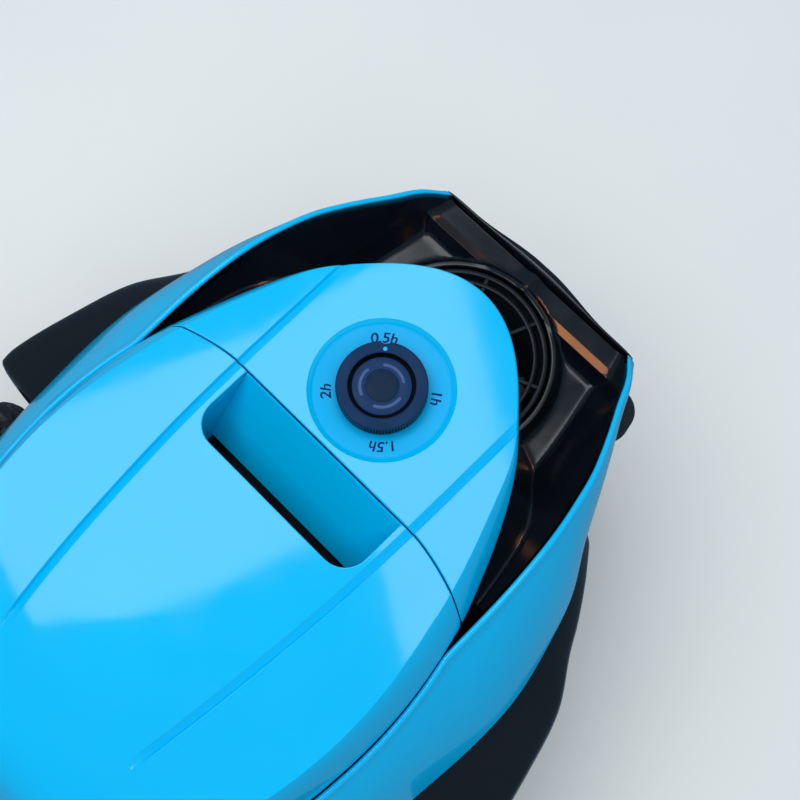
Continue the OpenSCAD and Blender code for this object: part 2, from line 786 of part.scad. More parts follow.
// Ring of the side pod at one station; the inset ring shapes its hollow
function skirt_ring(y, inset) =
    let (
        hollow = inset > 0,
        xo = track_half / 100 * curve(share(y, skirt_y0, skirt_y1), SKIRT_PLAN) - inset,
        xi = tub_half_at(y) + seat - (hollow ? 2 : 0),
        zt = split_z - flange_h - seat - inset,
        zb = hollow ? skirt_foot_z - 20 : skirt_foot_z,
        shoulder = inset / 2,
        d = xo - xi
    )
    [[xi, y, zb], [xo - 3, y, zb], [xo - 0.5, y, skirt_waist_z],
     [xo, y, skirt_shoulder_z - shoulder], [xo - min(5, 0.3 * d), y, skirt_shoulder_z + 7 - shoulder],
     [xi + 0.45 * d, y, zt - 2], [xi, y, zt]];

module skirt_body(inset) {
    steps = 12;
    y0 = skirt_y0 + inset;
    run = skirt_y1 - skirt_y0 - 2 * inset;
    skin([for (k = [0:steps]) skirt_ring(y0 + run * k / steps, inset)]);
}

// Hollow side pod that covers the front wheel and runs back to the rear wheel
module skirt(s) {
    color(GLOSS_BLACK) side(s) difference() {
        skirt_body(0);
        skirt_body(skirt_wall);
    }
}
module left_skirt() { skirt(1); }
module right_skirt() { skirt(-1); }

// ---- front and rear bars ------------------------------------------------------------

// Lower bar that takes the knocks, and the sill above it
module front_bumper() {
    front = bumper_front_y;
    step_z = split_z - flange_h - 1;
    color(GLOSS_BLACK) {
        mirrored_plate(bumper_z0, step_z + 0.7,
            [[22, front], [31, front + 1], [42, front + 8], [60, front + 10],
             [60, tub_front_y - seat]]);
        mirrored_plate(step_z, deck_floor_z + 7,
            [[33, front + 4], [40, front + 7], [61, front + 9], [61, rim_front_y - 0.4]]);
    }
}

module rear_guard() {
    rear = guard_rear_y;
    color(GLOSS_BLACK) mirrored_plate(guard_z0, guard_z1,
        [[54, tub_rear_y + seat], [54, rear - 11], [46, rear - 4], [34, rear]]);
}

// ---- dial and push button -------------------------------------------------------------

// Child moved out from the dial's axis in the direction of the mark
module at_mark(r) {
    translate([0, dial_y, 0]) rotate([0, 0, MARK_TURN]) translate([r, 0, 0]) children();
}

module dial_knob() {
    color(SLATE) difference() {
        union() {
            post(dial_d, dial_z0, dial_z1, 0, dial_y);
            post(dial_stem_d, switch_z1 + seat, dial_z0 + 1, 0, dial_y);
        }
        post(dial_bore_d, cap_seat_z, far, 0, dial_y);
        // thumb notch beside the mark
        at_mark((dial_d + notch_d) / 2 - notch_depth) post(notch_d, dial_z0 + 2, far, 0, 0);
        at_mark(mark_r) post(mark_d + mate, dial_z1 - light_depth, far, 0, 0);
    }
}

module dial_mark() {
    color(CYAN) at_mark(mark_r) post(mark_d, dial_z1 - light_depth, dial_z1 + mate, 0, 0);
}

module button_sleeve() {
    color(GLOSS_BLACK) difference() {
        post(dial_bore_d - 2 * run_clear, sleeve_z0, dial_z1 - sleeve_drop, 0, dial_y);
        post(button_d + 2 * run_clear + 0.5, sleeve_z0 + sleeve_floor, far, 0, dial_y);
        post(stem_d + 1, sleeve_z0 - cut, far, 0, dial_y);
    }
}

module power_button() {
    color(GREY) difference() {
        union() {
            post(button_d, button_z0, button_z1, 0, dial_y);
            post(stem_d, sleeve_z0 + button_travel + seat, button_z0 + 1, 0, dial_y);
        }
        for (a = LIGHTS) light_arc(a, light_w + mate, light_span + 0.8, far);
        post(15.5, button_z1 - 0.35, far, 0, dial_y);
    }
}

// One curved light window in the button's top
module light_arc(a, w, span, z1) {
    z0 = button_z1 - light_depth;
    translate([0, dial_y, z0]) rotate([0, 0, a])
        rotate_extrude(angle = span) translate([light_r - w / 2, 0]) square([w, z1 - z0]);
}

module button_lights() {
    color(PALE) for (a = LIGHTS) light_arc(a + 0.4, light_w, light_span, button_z1);
}

// Spring drawn as closed turns at its pressed height
module button_spring() {
    turns = 3;
    pitch = (spring_h - spring_wire) / (turns - 1);
    z0 = sleeve_z0 + sleeve_floor + spring_wire / 2;
    color(STEEL) for (k = [0:turns - 1]) translate([0, dial_y, z0 + k * pitch])
        rotate_extrude() translate([stem_d / 2 + 1.6, 0]) circle(d = spring_wire);
}

module timer_switch() {
    color(MATT_BLACK) tube(dial_stem_d + 4, dial_bore_d + 0.4, board_z1, switch_z1, 0, dial_y);
}

module control_board() {
    color(GREEN) soft_plate([-tray_half + 3, tray_y0 + 3, board_z0],
                            [tray_half - 3, tray_y1 - 3, board_z1], 3);
}

// Tray that holds the electronics and the posts on which the front cap stands
module control_tray() {
    floor_z = cap_seat_z + seat;
    color(MATT_BLACK) difference() {
        union() {
            soft_tray([-tray_half, tray_y0, floor_z],
                      [tray_half, tray_y1, dish_z - dish_floor - seat], 2, board_z0 - floor_z, 5);
            for (p = CAP_BOSSES) both_sides() {
                post(cap_boss_d, cap_seat_z + mate, hood_under(p[0], p[1]) - 0.6, p[0], p[1]);
                box([tray_half - 1, p[1] - 2, floor_z], [p[0], p[1] + 2, floor_z + 4.7]);
            }
        }
        for (p = CAP_BOSSES) both_sides()
            post(screw_d + mate, cap_seat_z - cut, cap_seat_z + 11.5, p[0], p[1]);
    }
}

// ---- pump -------------------------------------------------------------------------------

module outlet_guard() {
    r = outlet_d / 2;
    color(GLOSS_BLACK) translate([0, pump_y, outlet_z]) {
        for (inner = [14, 27, 40]) rotate_extrude() translate([inner, 0]) square([2.4, 3]);
        rotate_extrude() translate([r, -3]) square([duct_wall, 6]);
        cylinder(d = 16, h = 3);
        for (k = [0:7]) rotate([0, 0, 45 * k + 22.5]) box([6, -1.1, 0.3], [r + 1, 1.1, 2.7]);
    }
}

// Duct with a window towards the filter's room
module pump_duct() {
    color(MATT_BLACK) difference() {
        tube(outlet_d + 2 * duct_wall, outlet_d, duct_z0, outlet_z - 3, 0, pump_y);
        box([-26, pump_y + 20, 82], [26, pump_y + 60, 114]);
    }
}

// Motor pod held in the duct by four fins
module motor_pod() {
    fin_end = outlet_d / 2 - 2 * mate;
    color(MATT_BLACK) difference() {
        union() {
            post(motor_d, pod_z0, pod_z1, 0, pump_y);
            translate([0, pump_y, pod_z0]) for (a = [45:90:315]) rotate([0, 0, a])
                box([motor_d / 2 - 1, -1.5, 30], [fin_end, 1.5, pod_z1 - pod_z0]);
        }
        post(motor_d - 2 * pod_wall, pod_z0 + pod_wall, pod_z1 - 4, 0, pump_y);
        post(shaft_seal_d + mate, pod_z1 - 5, pod_z1 + cut, 0, pump_y);
    }
}

module pump_motor() {
    color(STEEL) difference() {
        post(motor_d - 2 * pod_wall - 2 * mate, pod_z0 + pod_wall + mate, pod_z1 - 4.2, 0, pump_y);
        post(shaft_d + 2 * run_clear, pod_z0 + 20, pod_z1, 0, pump_y);
    }
}

module shaft_seal() {
    color(AMBER) tube(shaft_seal_d, shaft_d + 2 * run_clear, pod_z1 - 4.1, pod_z1 - 0.2, 0, pump_y);
}

module pump_shaft() {
    color(STEEL) post(shaft_d, pod_z0 + 22, hub_z0 + hub_h - 2, 0, pump_y);
}

module impeller() {
    blades = 5;
    blade_end = outlet_d / 2 - 6;
    color(GREY) difference() {
        union() {
            post(hub_d, hub_z0, hub_z0 + hub_h, 0, pump_y);
            translate([0, pump_y, hub_z0 + hub_h / 2]) for (k = [0:blades - 1])
                rotate([0, 0, 360 / blades * k]) rotate([38, 0, 0])
                    box([hub_d / 2 - 2, -9, -1], [blade_end, 9, 1]);
        }
        post(shaft_d + mate, hub_z0 - cut, hub_z0 + hub_h - 2 + mate, 0, pump_y);
    }
}

// ---- filter -----------------------------------------------------------------------------

// Well for the basket, the room in front of it under the scoop, and the lid's hinge arm
module filter_well() {
    color(GLOSS_BLACK) difference() {
        union() {
            soft_plate([-well_half - well_lip, duct_room_y, flange_z - 3],
                       [well_half + well_lip, well_rear_y + well_lip, flange_z], 12);
            box([-well_half, duct_room_y, scoop_floor_z - seat - 3],
                [well_half, well_rear_y, flange_z - 1]);
            box([-well_half, well_front_y - well_wall, well_floor_z],
                [well_half, well_rear_y, flange_z - 1]);
            box([-hinge_arm_half, well_rear_y - 1, hinge_z - 5],
                [hinge_arm_half, hinge_y, hinge_z + 3]);
            bar_x(knuckle_d, -hinge_arm_half, hinge_arm_half, hinge_y, hinge_z);
            box([-throat_half - 3, throat_y0 - 1, tub_floor_z + tub_wall],
                [throat_half + 3, throat_y1 + 1, well_floor_z + 1]);
        }
        well_cuts();
    }
}

module well_cuts() {
    inner = well_half - well_wall;
    room_z = scoop_floor_z - seat;
    box([-inner, duct_room_y + well_wall, room_z], [inner, well_front_y - well_wall, far]);
    box([-inner, well_front_y, well_floor_z + well_wall], [inner, well_rear_y - well_wall, far]);
    box([-throat_half, throat_y0 + 2, 0], [throat_half, throat_y1 - 2, well_floor_z + 20]);
    bar_x(hinge_pin_d + mate, -far, far, hinge_y, hinge_z);
    // windows through which the pump draws clean water
    for (x = [-50:25:50])
        box([x - 9, well_front_y - well_wall - cut, well_floor_z + 35],
            [x + 9, well_front_y + cut, scoop_floor_z - 16]);
    box([-60, duct_room_y - cut, room_z], [60, duct_room_y + well_wall + cut, far]);
}

module filter_basket() {
    inner = basket_half - basket_wall;
    lug_z1 = flap_z + 4;
    color(SLATE) difference() {
        union() {
            difference() {
                box([-basket_half, basket_y0, basket_z0], [basket_half, basket_y1, basket_z1]);
                box([-inner, basket_y0 + basket_wall, basket_z0 + basket_wall],
                    [inner, basket_y1 - basket_wall, far]);
                basket_windows();
                box([-throat_half + 4, throat_y0 + 3, basket_z0 - cut],
                    [throat_half - 4, throat_y1 - 3, basket_z0 + 10]);
            }
            // lugs that hold the flap's pin
            both_sides() box([throat_half - 3.6, flap_y - 5, basket_z0 + basket_wall - 0.1],
                             [throat_half + 1, flap_y + 4, lug_z1]);
        }
        bar_x(handle_d + 2 * run_clear, -basket_half - 1, basket_half + 1, handle_y, handle_z);
        bar_x(flap_pin_d + mate, -throat_half - 3, throat_half + 3, flap_y, flap_z);
    }
}

// Windows through the basket's four walls, covered by the mesh
module basket_windows() {
    z0 = basket_z0 + 14;
    z1 = basket_z1 - 18;
    for (k = [-2:2]) box([k * 25 - window_w / 2, basket_y0 - cut, z0],
                         [k * 25 + window_w / 2, basket_y1 + cut, z1]);
    for (k = [0:2]) let (y = basket_y0 + 8 + k * 28)
        box([-basket_half - cut, y, z0], [basket_half + cut, y + window_w, z1]);
}

module filter_mesh() {
    inset = basket_wall + mate;
    color(PALE) soft_frame([-basket_half + inset, basket_y0 + inset, basket_z0 + 10],
                           [basket_half - inset, basket_y1 - inset, basket_z1 - 14], mesh_t, 1);
}

// Folding handle, lying along the basket's mouth at rest
module basket_handle() {
    y1 = handle_y + handle_reach;
    color(CYAN) {
        both_sides() {
            bar_x(handle_d, handle_half, basket_half - 0.4, handle_y, handle_z);
            bar_y(handle_d, handle_y, y1, handle_half, handle_z);
            for (y = [handle_y, y1]) translate([handle_half, y, handle_z]) sphere(d = handle_d);
        }
        bar_x(handle_d, -handle_half, handle_half, y1, handle_z);
    }
}

module intake_flap() {
    half = throat_half - 5;
    color(MATT_BLACK) difference() {
        union() {
            bar_x(flap_knuckle_d, -half, half, flap_y, flap_z);
            box([-half, flap_y, flap_z - 2.7], [half, throat_y1 - 1, flap_z - 1.2]);
        }
        bar_x(flap_pin_d + 2 * run_clear, -far, far, flap_y, flap_z);
    }
}

module flap_pin() {
    color(STEEL) bar_x(flap_pin_d, -throat_half - 0.8, throat_half + 0.8, flap_y, flap_z);
}

// ---- battery and charging -----------------------------------------------------------------

module battery_box() {
    color(GREY) soft_tray([-battery_half, battery_y0, battery_z0],
                          [battery_half, battery_y1, battery_z1], battery_wall, battery_wall, 6);
}

module battery_box_seal() {
    color(AMBER) soft_frame([-battery_half + 0.3, battery_y0 + 0.3, battery_z1],
                            [battery_half - 0.3, battery_y1 - 0.3, battery_z1 + battery_seal_h],
                            2, 6);
}

// Ribbed cover of the battery box
module battery_box_cover() {
    z = battery_z1 + battery_seal_h;
    rib_half = battery_half - 10;
    color(GREY) {
        soft_plate([-battery_half, battery_y0, z], [battery_half, battery_y1, z + 3], 6);
        for (y = [battery_y0 + 20:16:battery_y1 - 18])
            box([-rib_half, y, z + 2.5], [rib_half, y + 2.5, z + 5.5]);
    }
}

module battery_cells() {
    z0 = battery_z0 + battery_wall + mate;
    mid_y = (battery_y0 + battery_y1) / 2;
    color(BLUE) for (i = [-2.5:2.5], j = [-1.5:1.5])
        post(cell_d, z0, z0 + cell_h, i * cell_pitch, mid_y + j * cell_pitch);
}

// Socket through the tub's rear wall, with the lugs and pin of its cap
module charge_socket() {
    color(GREY) difference() {
        union() {
            bar_y(charge_d, tub_rear_y - 16, tub_rear_y + 1, 0, charge_z);
            bar_y(charge_d + 6, tub_rear_y + mate, tub_rear_y + 2, 0, charge_z);
            both_sides() {
                box([4.4, tub_rear_y + mate, charge_z + 6], [6.4, tub_rear_y + 2, cap_hinge_z + 2.5]);
                box([4.4, tub_rear_y + mate, cap_hinge_z - 2.5],
                    [6.4, cap_hinge_y + 2, cap_hinge_z + 2.5]);
            }
            bar_x(cap_pin_d, -5, 5, cap_hinge_y, cap_hinge_z);
        }
        bar_y(charge_bore_d, tub_rear_y - 12, tub_rear_y + 5, 0, charge_z);
    }
}

module charge_cap() {
    face_y = tub_rear_y + 2.3;
    color(MATT_BLACK) difference() {
        union() {
            bar_y(charge_d + 5, face_y, cap_hinge_y + 2, 0, charge_z);
            box([-4, face_y, charge_z + 8], [4, cap_hinge_y + 2, cap_hinge_z]);
            bar_x(5, -4, 4, cap_hinge_y, cap_hinge_z);
        }
        bar_x(cap_pin_d + 2 * run_clear, -far, far, cap_hinge_y, cap_hinge_z);
    }
}

// ---- running gear ---------------------------------------------------------------------------

module drive_motor(s) {
    color(STEEL) side(s) difference() {
        bar_x(gearmotor_d, well_half + 3, gearmotor_x1 - 0.2, rear_axle_y, axle_z);
        bar_x(rear_axle_d + 2 * run_clear, gearmotor_x1 - 20, gearmotor_x1 + cut, rear_axle_y, axle_z);
    }
}
module left_drive_motor() { drive_motor(1); }
module right_drive_motor() { drive_motor(-1); }

module rear_axle(s) {
    color(STEEL) side(s) bar_x(rear_axle_d, gearmotor_x1 - 18, track_half - 4, rear_axle_y, axle_z);
}
module left_rear_axle() { rear_axle(1); }
module right_rear_axle() { rear_axle(-1); }

module axle_bearing(s) {
    color(AMBER) side(s) difference() {
        bar_x(bearing_d, tub_half - tub_wall + 0.2, boss_end_x - 0.5, rear_axle_y, axle_z);
        bar_x(rear_axle_d + 2 * run_clear, 0, far, rear_axle_y, axle_z);
    }
}
module left_axle_bearing() { axle_bearing(1); }
module right_axle_bearing() { axle_bearing(-1); }

// Wheel with hub, dished web and rim, lightened by six holes
module rear_wheel(s) {
    w = rear_wheel_w;
    r = tyre_bore;
    color(GREY) side(s) difference() {
        turned_x(wheel_inner_x + 2, rear_axle_y, axle_z, 72,
                 [[0, 6], [0, w - 4], [13, w - 4], [16, w - 9], [r - 8, w - 11], [r - 5, w - 5],
                  [r, w - 5], [r, 1], [r - 4, 1], [r - 6, w - 15], [16, w - 13], [13, 0], [0, 0]]);
        bar_x(rear_axle_d + mate, wheel_inner_x - 5, track_half - 4 + mate, rear_axle_y, axle_z);
        for (k = [0:5]) translate([0, rear_axle_y, axle_z]) rotate([60 * k, 0, 0])
            bar_x(22, wheel_inner_x, far, 36, 0);
    }
}
module left_rear_wheel() { rear_wheel(1); }
module right_rear_wheel() { rear_wheel(-1); }

// Tyre with two staggered rows of tread notches
module rear_tyre(s) {
    w = rear_wheel_w;
    r = rear_wheel_d / 2;
    rows = [[-cut, (w - tread_rib) / 2, 0], [(w + tread_rib) / 2, w + cut, 180 / TREADS]];
    color(GREY) side(s) difference() {
        turned_x(wheel_inner_x, rear_axle_y, axle_z, 96,
                 [[tyre_bore + mate, 2], [r - 3, 0], [r, 4], [r, w - 4], [r - 3, w],
                  [tyre_bore + mate, w - 2]]);
        for (k = [0:TREADS - 1], row = rows) translate([wheel_inner_x, rear_axle_y, axle_z])
            rotate([360 / TREADS * k + row[2], 0, 0])
                box([row[0], -tread_gap / 2, r - tread_depth], [row[1], tread_gap / 2, r + 5]);
    }
}
module left_rear_tyre() { rear_tyre(1); }
module right_rear_tyre() { rear_tyre(-1); }

module front_wheel(s) {
    w = front_wheel_w;
    r = front_wheel_d / 2;
    color(GREY) side(s) difference() {
        turned_x(front_wheel_x, front_axle_y, r, 72,
                 [[0, 0], [8, 0], [10, 4], [r - 9, 4], [r - 8, 1], [r - 2, 0], [r, 2], [r, w - 2],
                  [r - 2, w], [r - 8, w - 1], [r - 9, w - 5], [10, w - 5], [8, w - 1], [0, w - 1]]);
        bar_x(front_axle_d + 2 * run_clear, 0, far, front_axle_y, r);
    }
}
module left_front_wheel() { front_wheel(1); }
module right_front_wheel() { front_wheel(-1); }

// Headed stub axles of the front wheels and plain pins of the bumper rollers
module guide_pins() {
    r = front_wheel_d / 2;
    x1 = front_wheel_x + front_wheel_w;
    pin_half = roller_h / 2 + 4.4;
    color(STEEL) both_sides() {
        bar_x(front_axle_d, tub_half - tub_wall - 3, x1 + 1, front_axle_y, r);
        bar_x(front_axle_d + 5, x1 - 0.6, x1 + 1.4, front_axle_y, r);
        post(roller_pin_d, roller_z - pin_half, roller_z + pin_half, roller_x, roller_y);
    }
}

module brush_core() {
    color(GREY) {
        bar_x(20, -brush_len / 2, brush_len / 2, brush_y, brush_z);
        bar_x(brush_pin_d, -brush_pin_end, brush_pin_end, brush_y, brush_z);
    }
}

module brush_blades() {
    blades = 8;
    half = brush_len / 2 - 1;
    color(CYAN) translate([0, brush_y, brush_z]) difference() {
        union() {
            bar_x(25, -half, half, 0, 0);
            for (k = [0:blades - 1]) rotate([360 / blades * k, 0, 0])
                box([-half, -1.4, 11], [half, 1.4, brush_d / 2]);
        }
        bar_x(20 + mate, -far, far, 0, 0);
    }
}

module bumper_roller(s) {
    r = roller_d / 2;
    h = roller_h;
    color(MATT_BLACK) side(s) difference() {
        translate([roller_x, roller_y, roller_z - h / 2]) rotate_extrude()
            polygon([[0, 0], [r - 3, 0], [r, 4], [r, h - 4], [r - 3, h], [0, h]]);
        post(roller_pin_d + 2 * run_clear, roller_z - h, roller_z + h, roller_x, roller_y);
    }
}
module left_bumper_roller() { bumper_roller(1); }
module right_bumper_roller() { bumper_roller(-1); }

module housing_screws() {
    color(STEEL) both_sides() {
        for (p = CAP_BOSSES) screw(p, cap_seat_z - deck_wall);
        for (p = SHELL_BOSSES) screw(p, split_z - flange_web);
    }
}

// Screw driven upwards through a face at the given height
module screw(p, z) {
    post(screw_d, z - 0.2, z + screw_len, p[0], p[1]);
    post(screw_head_d, z - 2.8, z - 0.1, p[0], p[1]);
}

front_cap();
top_lid();
lid_frame();
grip_scoop();
lid_seal();
lid_hinge_pin();
outer_shell();
inner_deck();
rear_deck();
front_bumper();
rear_guard();
dial_knob();
dial_mark();
button_sleeve();
power_button();
button_lights();
button_spring();
timer_switch();
control_board();
control_tray();
outlet_guard();
impeller();
pump_shaft();
pump_motor();
motor_pod();
pump_duct();
shaft_seal();
filter_well();
filter_basket();
filter_mesh();
basket_handle();
intake_flap();
flap_pin();
chassis_tub();
left_skirt();
right_skirt();
battery_box();
battery_box_cover();
battery_box_seal();
battery_cells();
charge_socket();
charge_cap();
left_drive_motor();
right_drive_motor();
left_rear_axle();
right_rear_axle();
left_axle_bearing();
right_axle_bearing();
left_rear_wheel();
right_rear_wheel();
left_rear_tyre();
right_rear_tyre();
left_front_wheel();
right_front_wheel();
guide_pins();
brush_core();
brush_blades();
left_bumper_roller();
right_bumper_roller();
housing_screws();
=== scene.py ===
"""Looks of the cordless pool cleaner, dressed round its CAD frame.

Shapes are worked out in millimetres in the frame's axes: nose towards -Y, the machine's left
side towards +X, +Z up, ground at z = 0. They become metres when a piece is made.
"""
import json
import math

import bpy
import numpy as np
from mathutils import Matrix, Vector, geometry
from mathutils.bvhtree import BVHTree


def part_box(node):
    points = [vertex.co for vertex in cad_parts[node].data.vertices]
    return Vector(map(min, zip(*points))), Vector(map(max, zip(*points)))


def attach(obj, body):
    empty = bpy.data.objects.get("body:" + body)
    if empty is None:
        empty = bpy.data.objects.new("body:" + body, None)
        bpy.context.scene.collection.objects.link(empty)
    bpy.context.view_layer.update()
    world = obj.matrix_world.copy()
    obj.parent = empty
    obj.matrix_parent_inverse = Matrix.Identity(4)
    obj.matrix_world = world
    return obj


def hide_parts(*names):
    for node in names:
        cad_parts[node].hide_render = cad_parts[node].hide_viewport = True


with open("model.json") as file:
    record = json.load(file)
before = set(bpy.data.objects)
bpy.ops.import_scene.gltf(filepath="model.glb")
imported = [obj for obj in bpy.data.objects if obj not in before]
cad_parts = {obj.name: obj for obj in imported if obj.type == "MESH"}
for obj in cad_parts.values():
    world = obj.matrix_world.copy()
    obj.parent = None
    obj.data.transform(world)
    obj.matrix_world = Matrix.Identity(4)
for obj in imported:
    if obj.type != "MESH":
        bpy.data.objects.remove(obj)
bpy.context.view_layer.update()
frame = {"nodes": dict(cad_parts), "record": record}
MM = 0.001
X, Y, Z = 0, 1, 2


def span(node, axis):
    """Lowest and highest value of a CAD node along one axis, in millimetres."""
    low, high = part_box(node)
    return low[axis] / MM, high[axis] / MM


# ---- sizes in millimetres: from the frame where it has them, otherwise set here ----

SEAT = 0.3  # gap between pieces that lie against each other

# Hood: the front cap and the lid behind its seam
NOSE_Y = span("front_cap", Y)[0] - SEAT / 2
SEAM_Y = span("front_cap", Y)[1]
TAIL_Y = span("top_lid", Y)[1] + SEAT / 2
HOOD_Z = span("front_cap", Z)[1]
HOOD_HALF = span("top_lid", X)[1]
HOOD_WALL = 3.0
EDGE_R = 0.5  # rounding of the hood pieces' own edges
CAMBER = 2.0  # drop of the crown from the middle to the bevel
CAMBER_HALF = 80.0  # the camber is never spread over less than this half width
BEVEL_CREASE = 0.5  # share of the bevel's drop that is a plain slope
SEAM_GAP = 0.7
SEAM_FLAT = 57.0  # the seam runs straight across this half width
SEAM_RUN = 31.0  # and over this width further out
SEAM_SWEEP = 6.5  # it swings back by this much
SEAM_POWER = 1.6
GROOVE_Y = (-124, 114)
GROOVE_FADE = 16  # length over which each end runs out
GROOVE_HALF = 2.3
GROOVE_DEPTH = 1.9
GROOVE_VALLEY = -0.45  # deepest line, as a share towards the middle

# Hand grip
GRIP_HALF = 51.0
GRIP_REAR_Y = SEAM_Y + 36.5
GRIP_R = 13.0
GRIP_DROP = 2.6  # from the hood's top down to the front edge of the grip's floor
GRIP_SHEET = 2.4
GRIP_CHEEK = 2.6
GRIP_CLEAR = 1.6  # between the lid's underside and the cheeks
GRIP_SLOT = 4.8  # left open along the floor's foot

# Dial in its dish, and the button inside the dial
DIAL_R = span("dial_knob", X)[1]
DIAL_Y = sum(span("dial_knob", Y)) / 2
DIAL_TOP = span("dial_knob", Z)[1]
DIAL_FOOT = DIAL_TOP - 9
DISH_Z = DIAL_FOOT - SEAT
DISH_R = 35.0
DISH_WALL = 2.4
DISH_ROUND = 1.5  # power that rounds the wall's foot
DISH_LINE = 0.3  # depth of the fine line round the dish's floor
DISH_LINE_HALF = 0.35
DISH_SLOPE = 0.11  # the dish's floor rises towards its wall
CAP_HOLE_R = 19.4
BORE_R = 15.7
MARK_TURN = math.radians(-50)
MARK_R = 17.6
DOT_R = 1.0
NOTCH_R = 5.0
NOTCH_DEPTH = 1.4
BUTTON_TOP = span("power_button", Z)[1]
BUTTON_R = 14.0
BUTTON_STEM_R = 4.0
BUTTON_SHELF = 6.0  # from the top down to the foot of its side
BUTTON_DISC_R = 7.6  # centre disc, inside a narrow step
TURNING_PITCH = 0.9  # between the disc's turning marks
LIGHT_STARTS = (-4, 116, 236)
LIGHT_SPAN = 72
LIGHT_R = 10.2
LIGHT_HALF = 0.7

# Shell with its raised rim, and the tub under it
RIM_FRONT_Y = span("outer_shell", Y)[0]
RIM_MERGE_Y = -20.0  # the rim follows the lid's edge behind this
RIM_OFFSET = 2.3
RIM_STEP = 1.5  # from the hood's lip down to the rim
SHELL_WALL = 3.2
SHELL_LIP_R = 1.3
SHELL_BELLY = 3.0  # outward bow of the shell's side, halfway down
SHELL_TURN = 0.6  # past this, the wall's width turns from X to Y round the tail
SHELL_TAIL_Y = span("outer_shell", Y)[1]
SKIRT_LINE_HALF = span("outer_shell", X)[1]
SPLIT_Z = span("outer_shell", Z)[0]
TUB_HALF = 112.0
TUB_FRONT_Y = -194.0
TUB_REAR_Y = 196.0

# Deck between the shell's sides, with its ledge in front
CAP_SEAT_Z = HOOD_Z - 18
DECK_WALL = 3.0
DECK_INSET = 1.3  # from the shell's inner face
DECK_FLOOR_Z = SPLIT_Z + DECK_WALL
DECK_SIDE_SLOPE = 1.7
DECK_SIDE_DROP = 2.0  # from the shell's rim down to the deck's side
DECK_BLEND = 1.6  # softness of the fillets between the deck's faces
CORE_SLOPE = 0.72
LEDGE_Y = -183.5  # crest of the ledge
LEDGE_TOP_Z = DECK_FLOOR_Z + 7.5
LEDGE_WIDTH = 5.0  # of the strip that slopes forward from the crest
LEDGE_SLOPE = 0.3
LEDGE_REAR_SLOPE = 1.5

# Water outlet in the deck: collar and grille
PUMP_Y = sum(span("outlet_guard", Y)) / 2
OUTLET_R = 45.0
OUTLET_BORE = 49.2
COLLAR_Z = SPLIT_Z + 12
COLLAR_WIDTH = 3.0  # of the level ring round the outlet
COLLAR_RISE = 3.0  # slope from the ring up to the core
COLLAR_FALL = 2.5  # and down to the trough
GUARD_RINGS = (14, 27, 40)
GUARD_STRIP = 2.4
GUARD_DEPTH = 3.0
GUARD_HUB_R = 8.0
GUARD_EDGE = 3.0  # width and extra depth of the outermost ring
GUARD_SPOKES = 8
GUARD_SPOKE_W = 2.2

# Bars across the nose
BUMPER_HALF = 59.5
BUMPER_BOW = 10.5
SILL_HALF = 66.5
SILL_BOW = 5.0
SILL_SETBACK = 4.0  # of the sill's face behind the bumper's
SILL_FOOT_Z = SPLIT_Z - 5
SILL_TOP_Z = DECK_FLOOR_Z + 11
SILL_LAP = 2.0  # the bumper reaches this far up into the sill
GUARD_HALF = 54.0
BOW_FLAT = 4.0  # half width in the middle of a bar that runs straight
BOW_RUN = 44.0  # and the length over which it then swings back
BAR_END_POWER = 12

# Wheels, side pods and bumper rollers
TRACK_HALF = span("left_rear_tyre", X)[1]
AXLE_Y = sum(span("left_rear_tyre", Y)) / 2
AXLE_Z = sum(span("left_rear_tyre", Z)) / 2
TYRE_R = 75.0
TYRE_W = 38.0
WHEEL_R = 64.0
SKIRT_Y = span("left_skirt", Y)
SKIRT_TOP_Z = span("left_skirt", Z)[1]
SKIRT_FOOT_Z = 30.0
SKIRT_END_R = 7.0
SKIRT_WALL = 2.6
ROLLER_Z = span("left_bumper_roller", Z)
ROLLER_R = 14.0
ROLLER_BORE_R = 2.1
ROLLER_RIBS = 5
ROLLER_PITCH = 4.0
ROLLER_GROOVE = 1.2

# Percent of the hood's length against percent of its half width, then against
# the bevel's width, the lip's drop and the crown's drop in millimetres
HOOD_PLAN = [(0, 0), (9, 47), (15, 63), (21, 74), (30, 86), (38, 94), (50, 100),
             (62, 100), (75, 94), (86, 79), (95, 51), (100, 0)]
HOOD_BEVEL = [(0, 1), (12, 1.5), (21, 6.5), (30, 9), (40, 11), (60, 10), (90, 10), (100, 2)]
HOOD_SIDE = [(0, 1.5), (9, 3), (15, 7), (21, 12.5), (30, 17.5), (45, 20), (60, 24), (80, 31),
             (100, 44)]
HOOD_CROWN = [(0, 0), (60, 0), (75, 2), (88, 9), (95, 19), (100, 42)]
# Percent of the way from the rim's front to the lid against percent of half width, and drop
RIM_PLAN = [(0, 61), (7, 69), (16, 75.5), (26, 83), (37, 90), (47, 94), (57, 97),
            (69, 99), (82, 100), (100, 100)]
RIM_DROP = [(0, 59), (7, 50), (16, 43), (26, 35.5), (37, 28), (47, 23), (57, 20),
            (69, 18.5), (82, 19), (100, 20.9)]
# Percent of length against percent of half width
SHELL_PLAN = [(0, 46.5), (7, 57), (13, 67), (21, 79.5), (26, 88), (31, 93), (40, 99),
              (47, 100), (55, 98.5), (65, 95), (78, 85), (90, 66), (97, 38), (100, 0)]
TUB_PLAN = [(0, 52), (8, 72), (17, 84), (28, 94), (40, 100), (86, 100), (92, 90),
            (97, 70), (100, 48)]
SKIRT_PLAN = [(0, 62), (13, 71), (24, 77.5), (33, 82), (48, 90.5), (66, 95.5), (90, 100),
              (100, 99)]
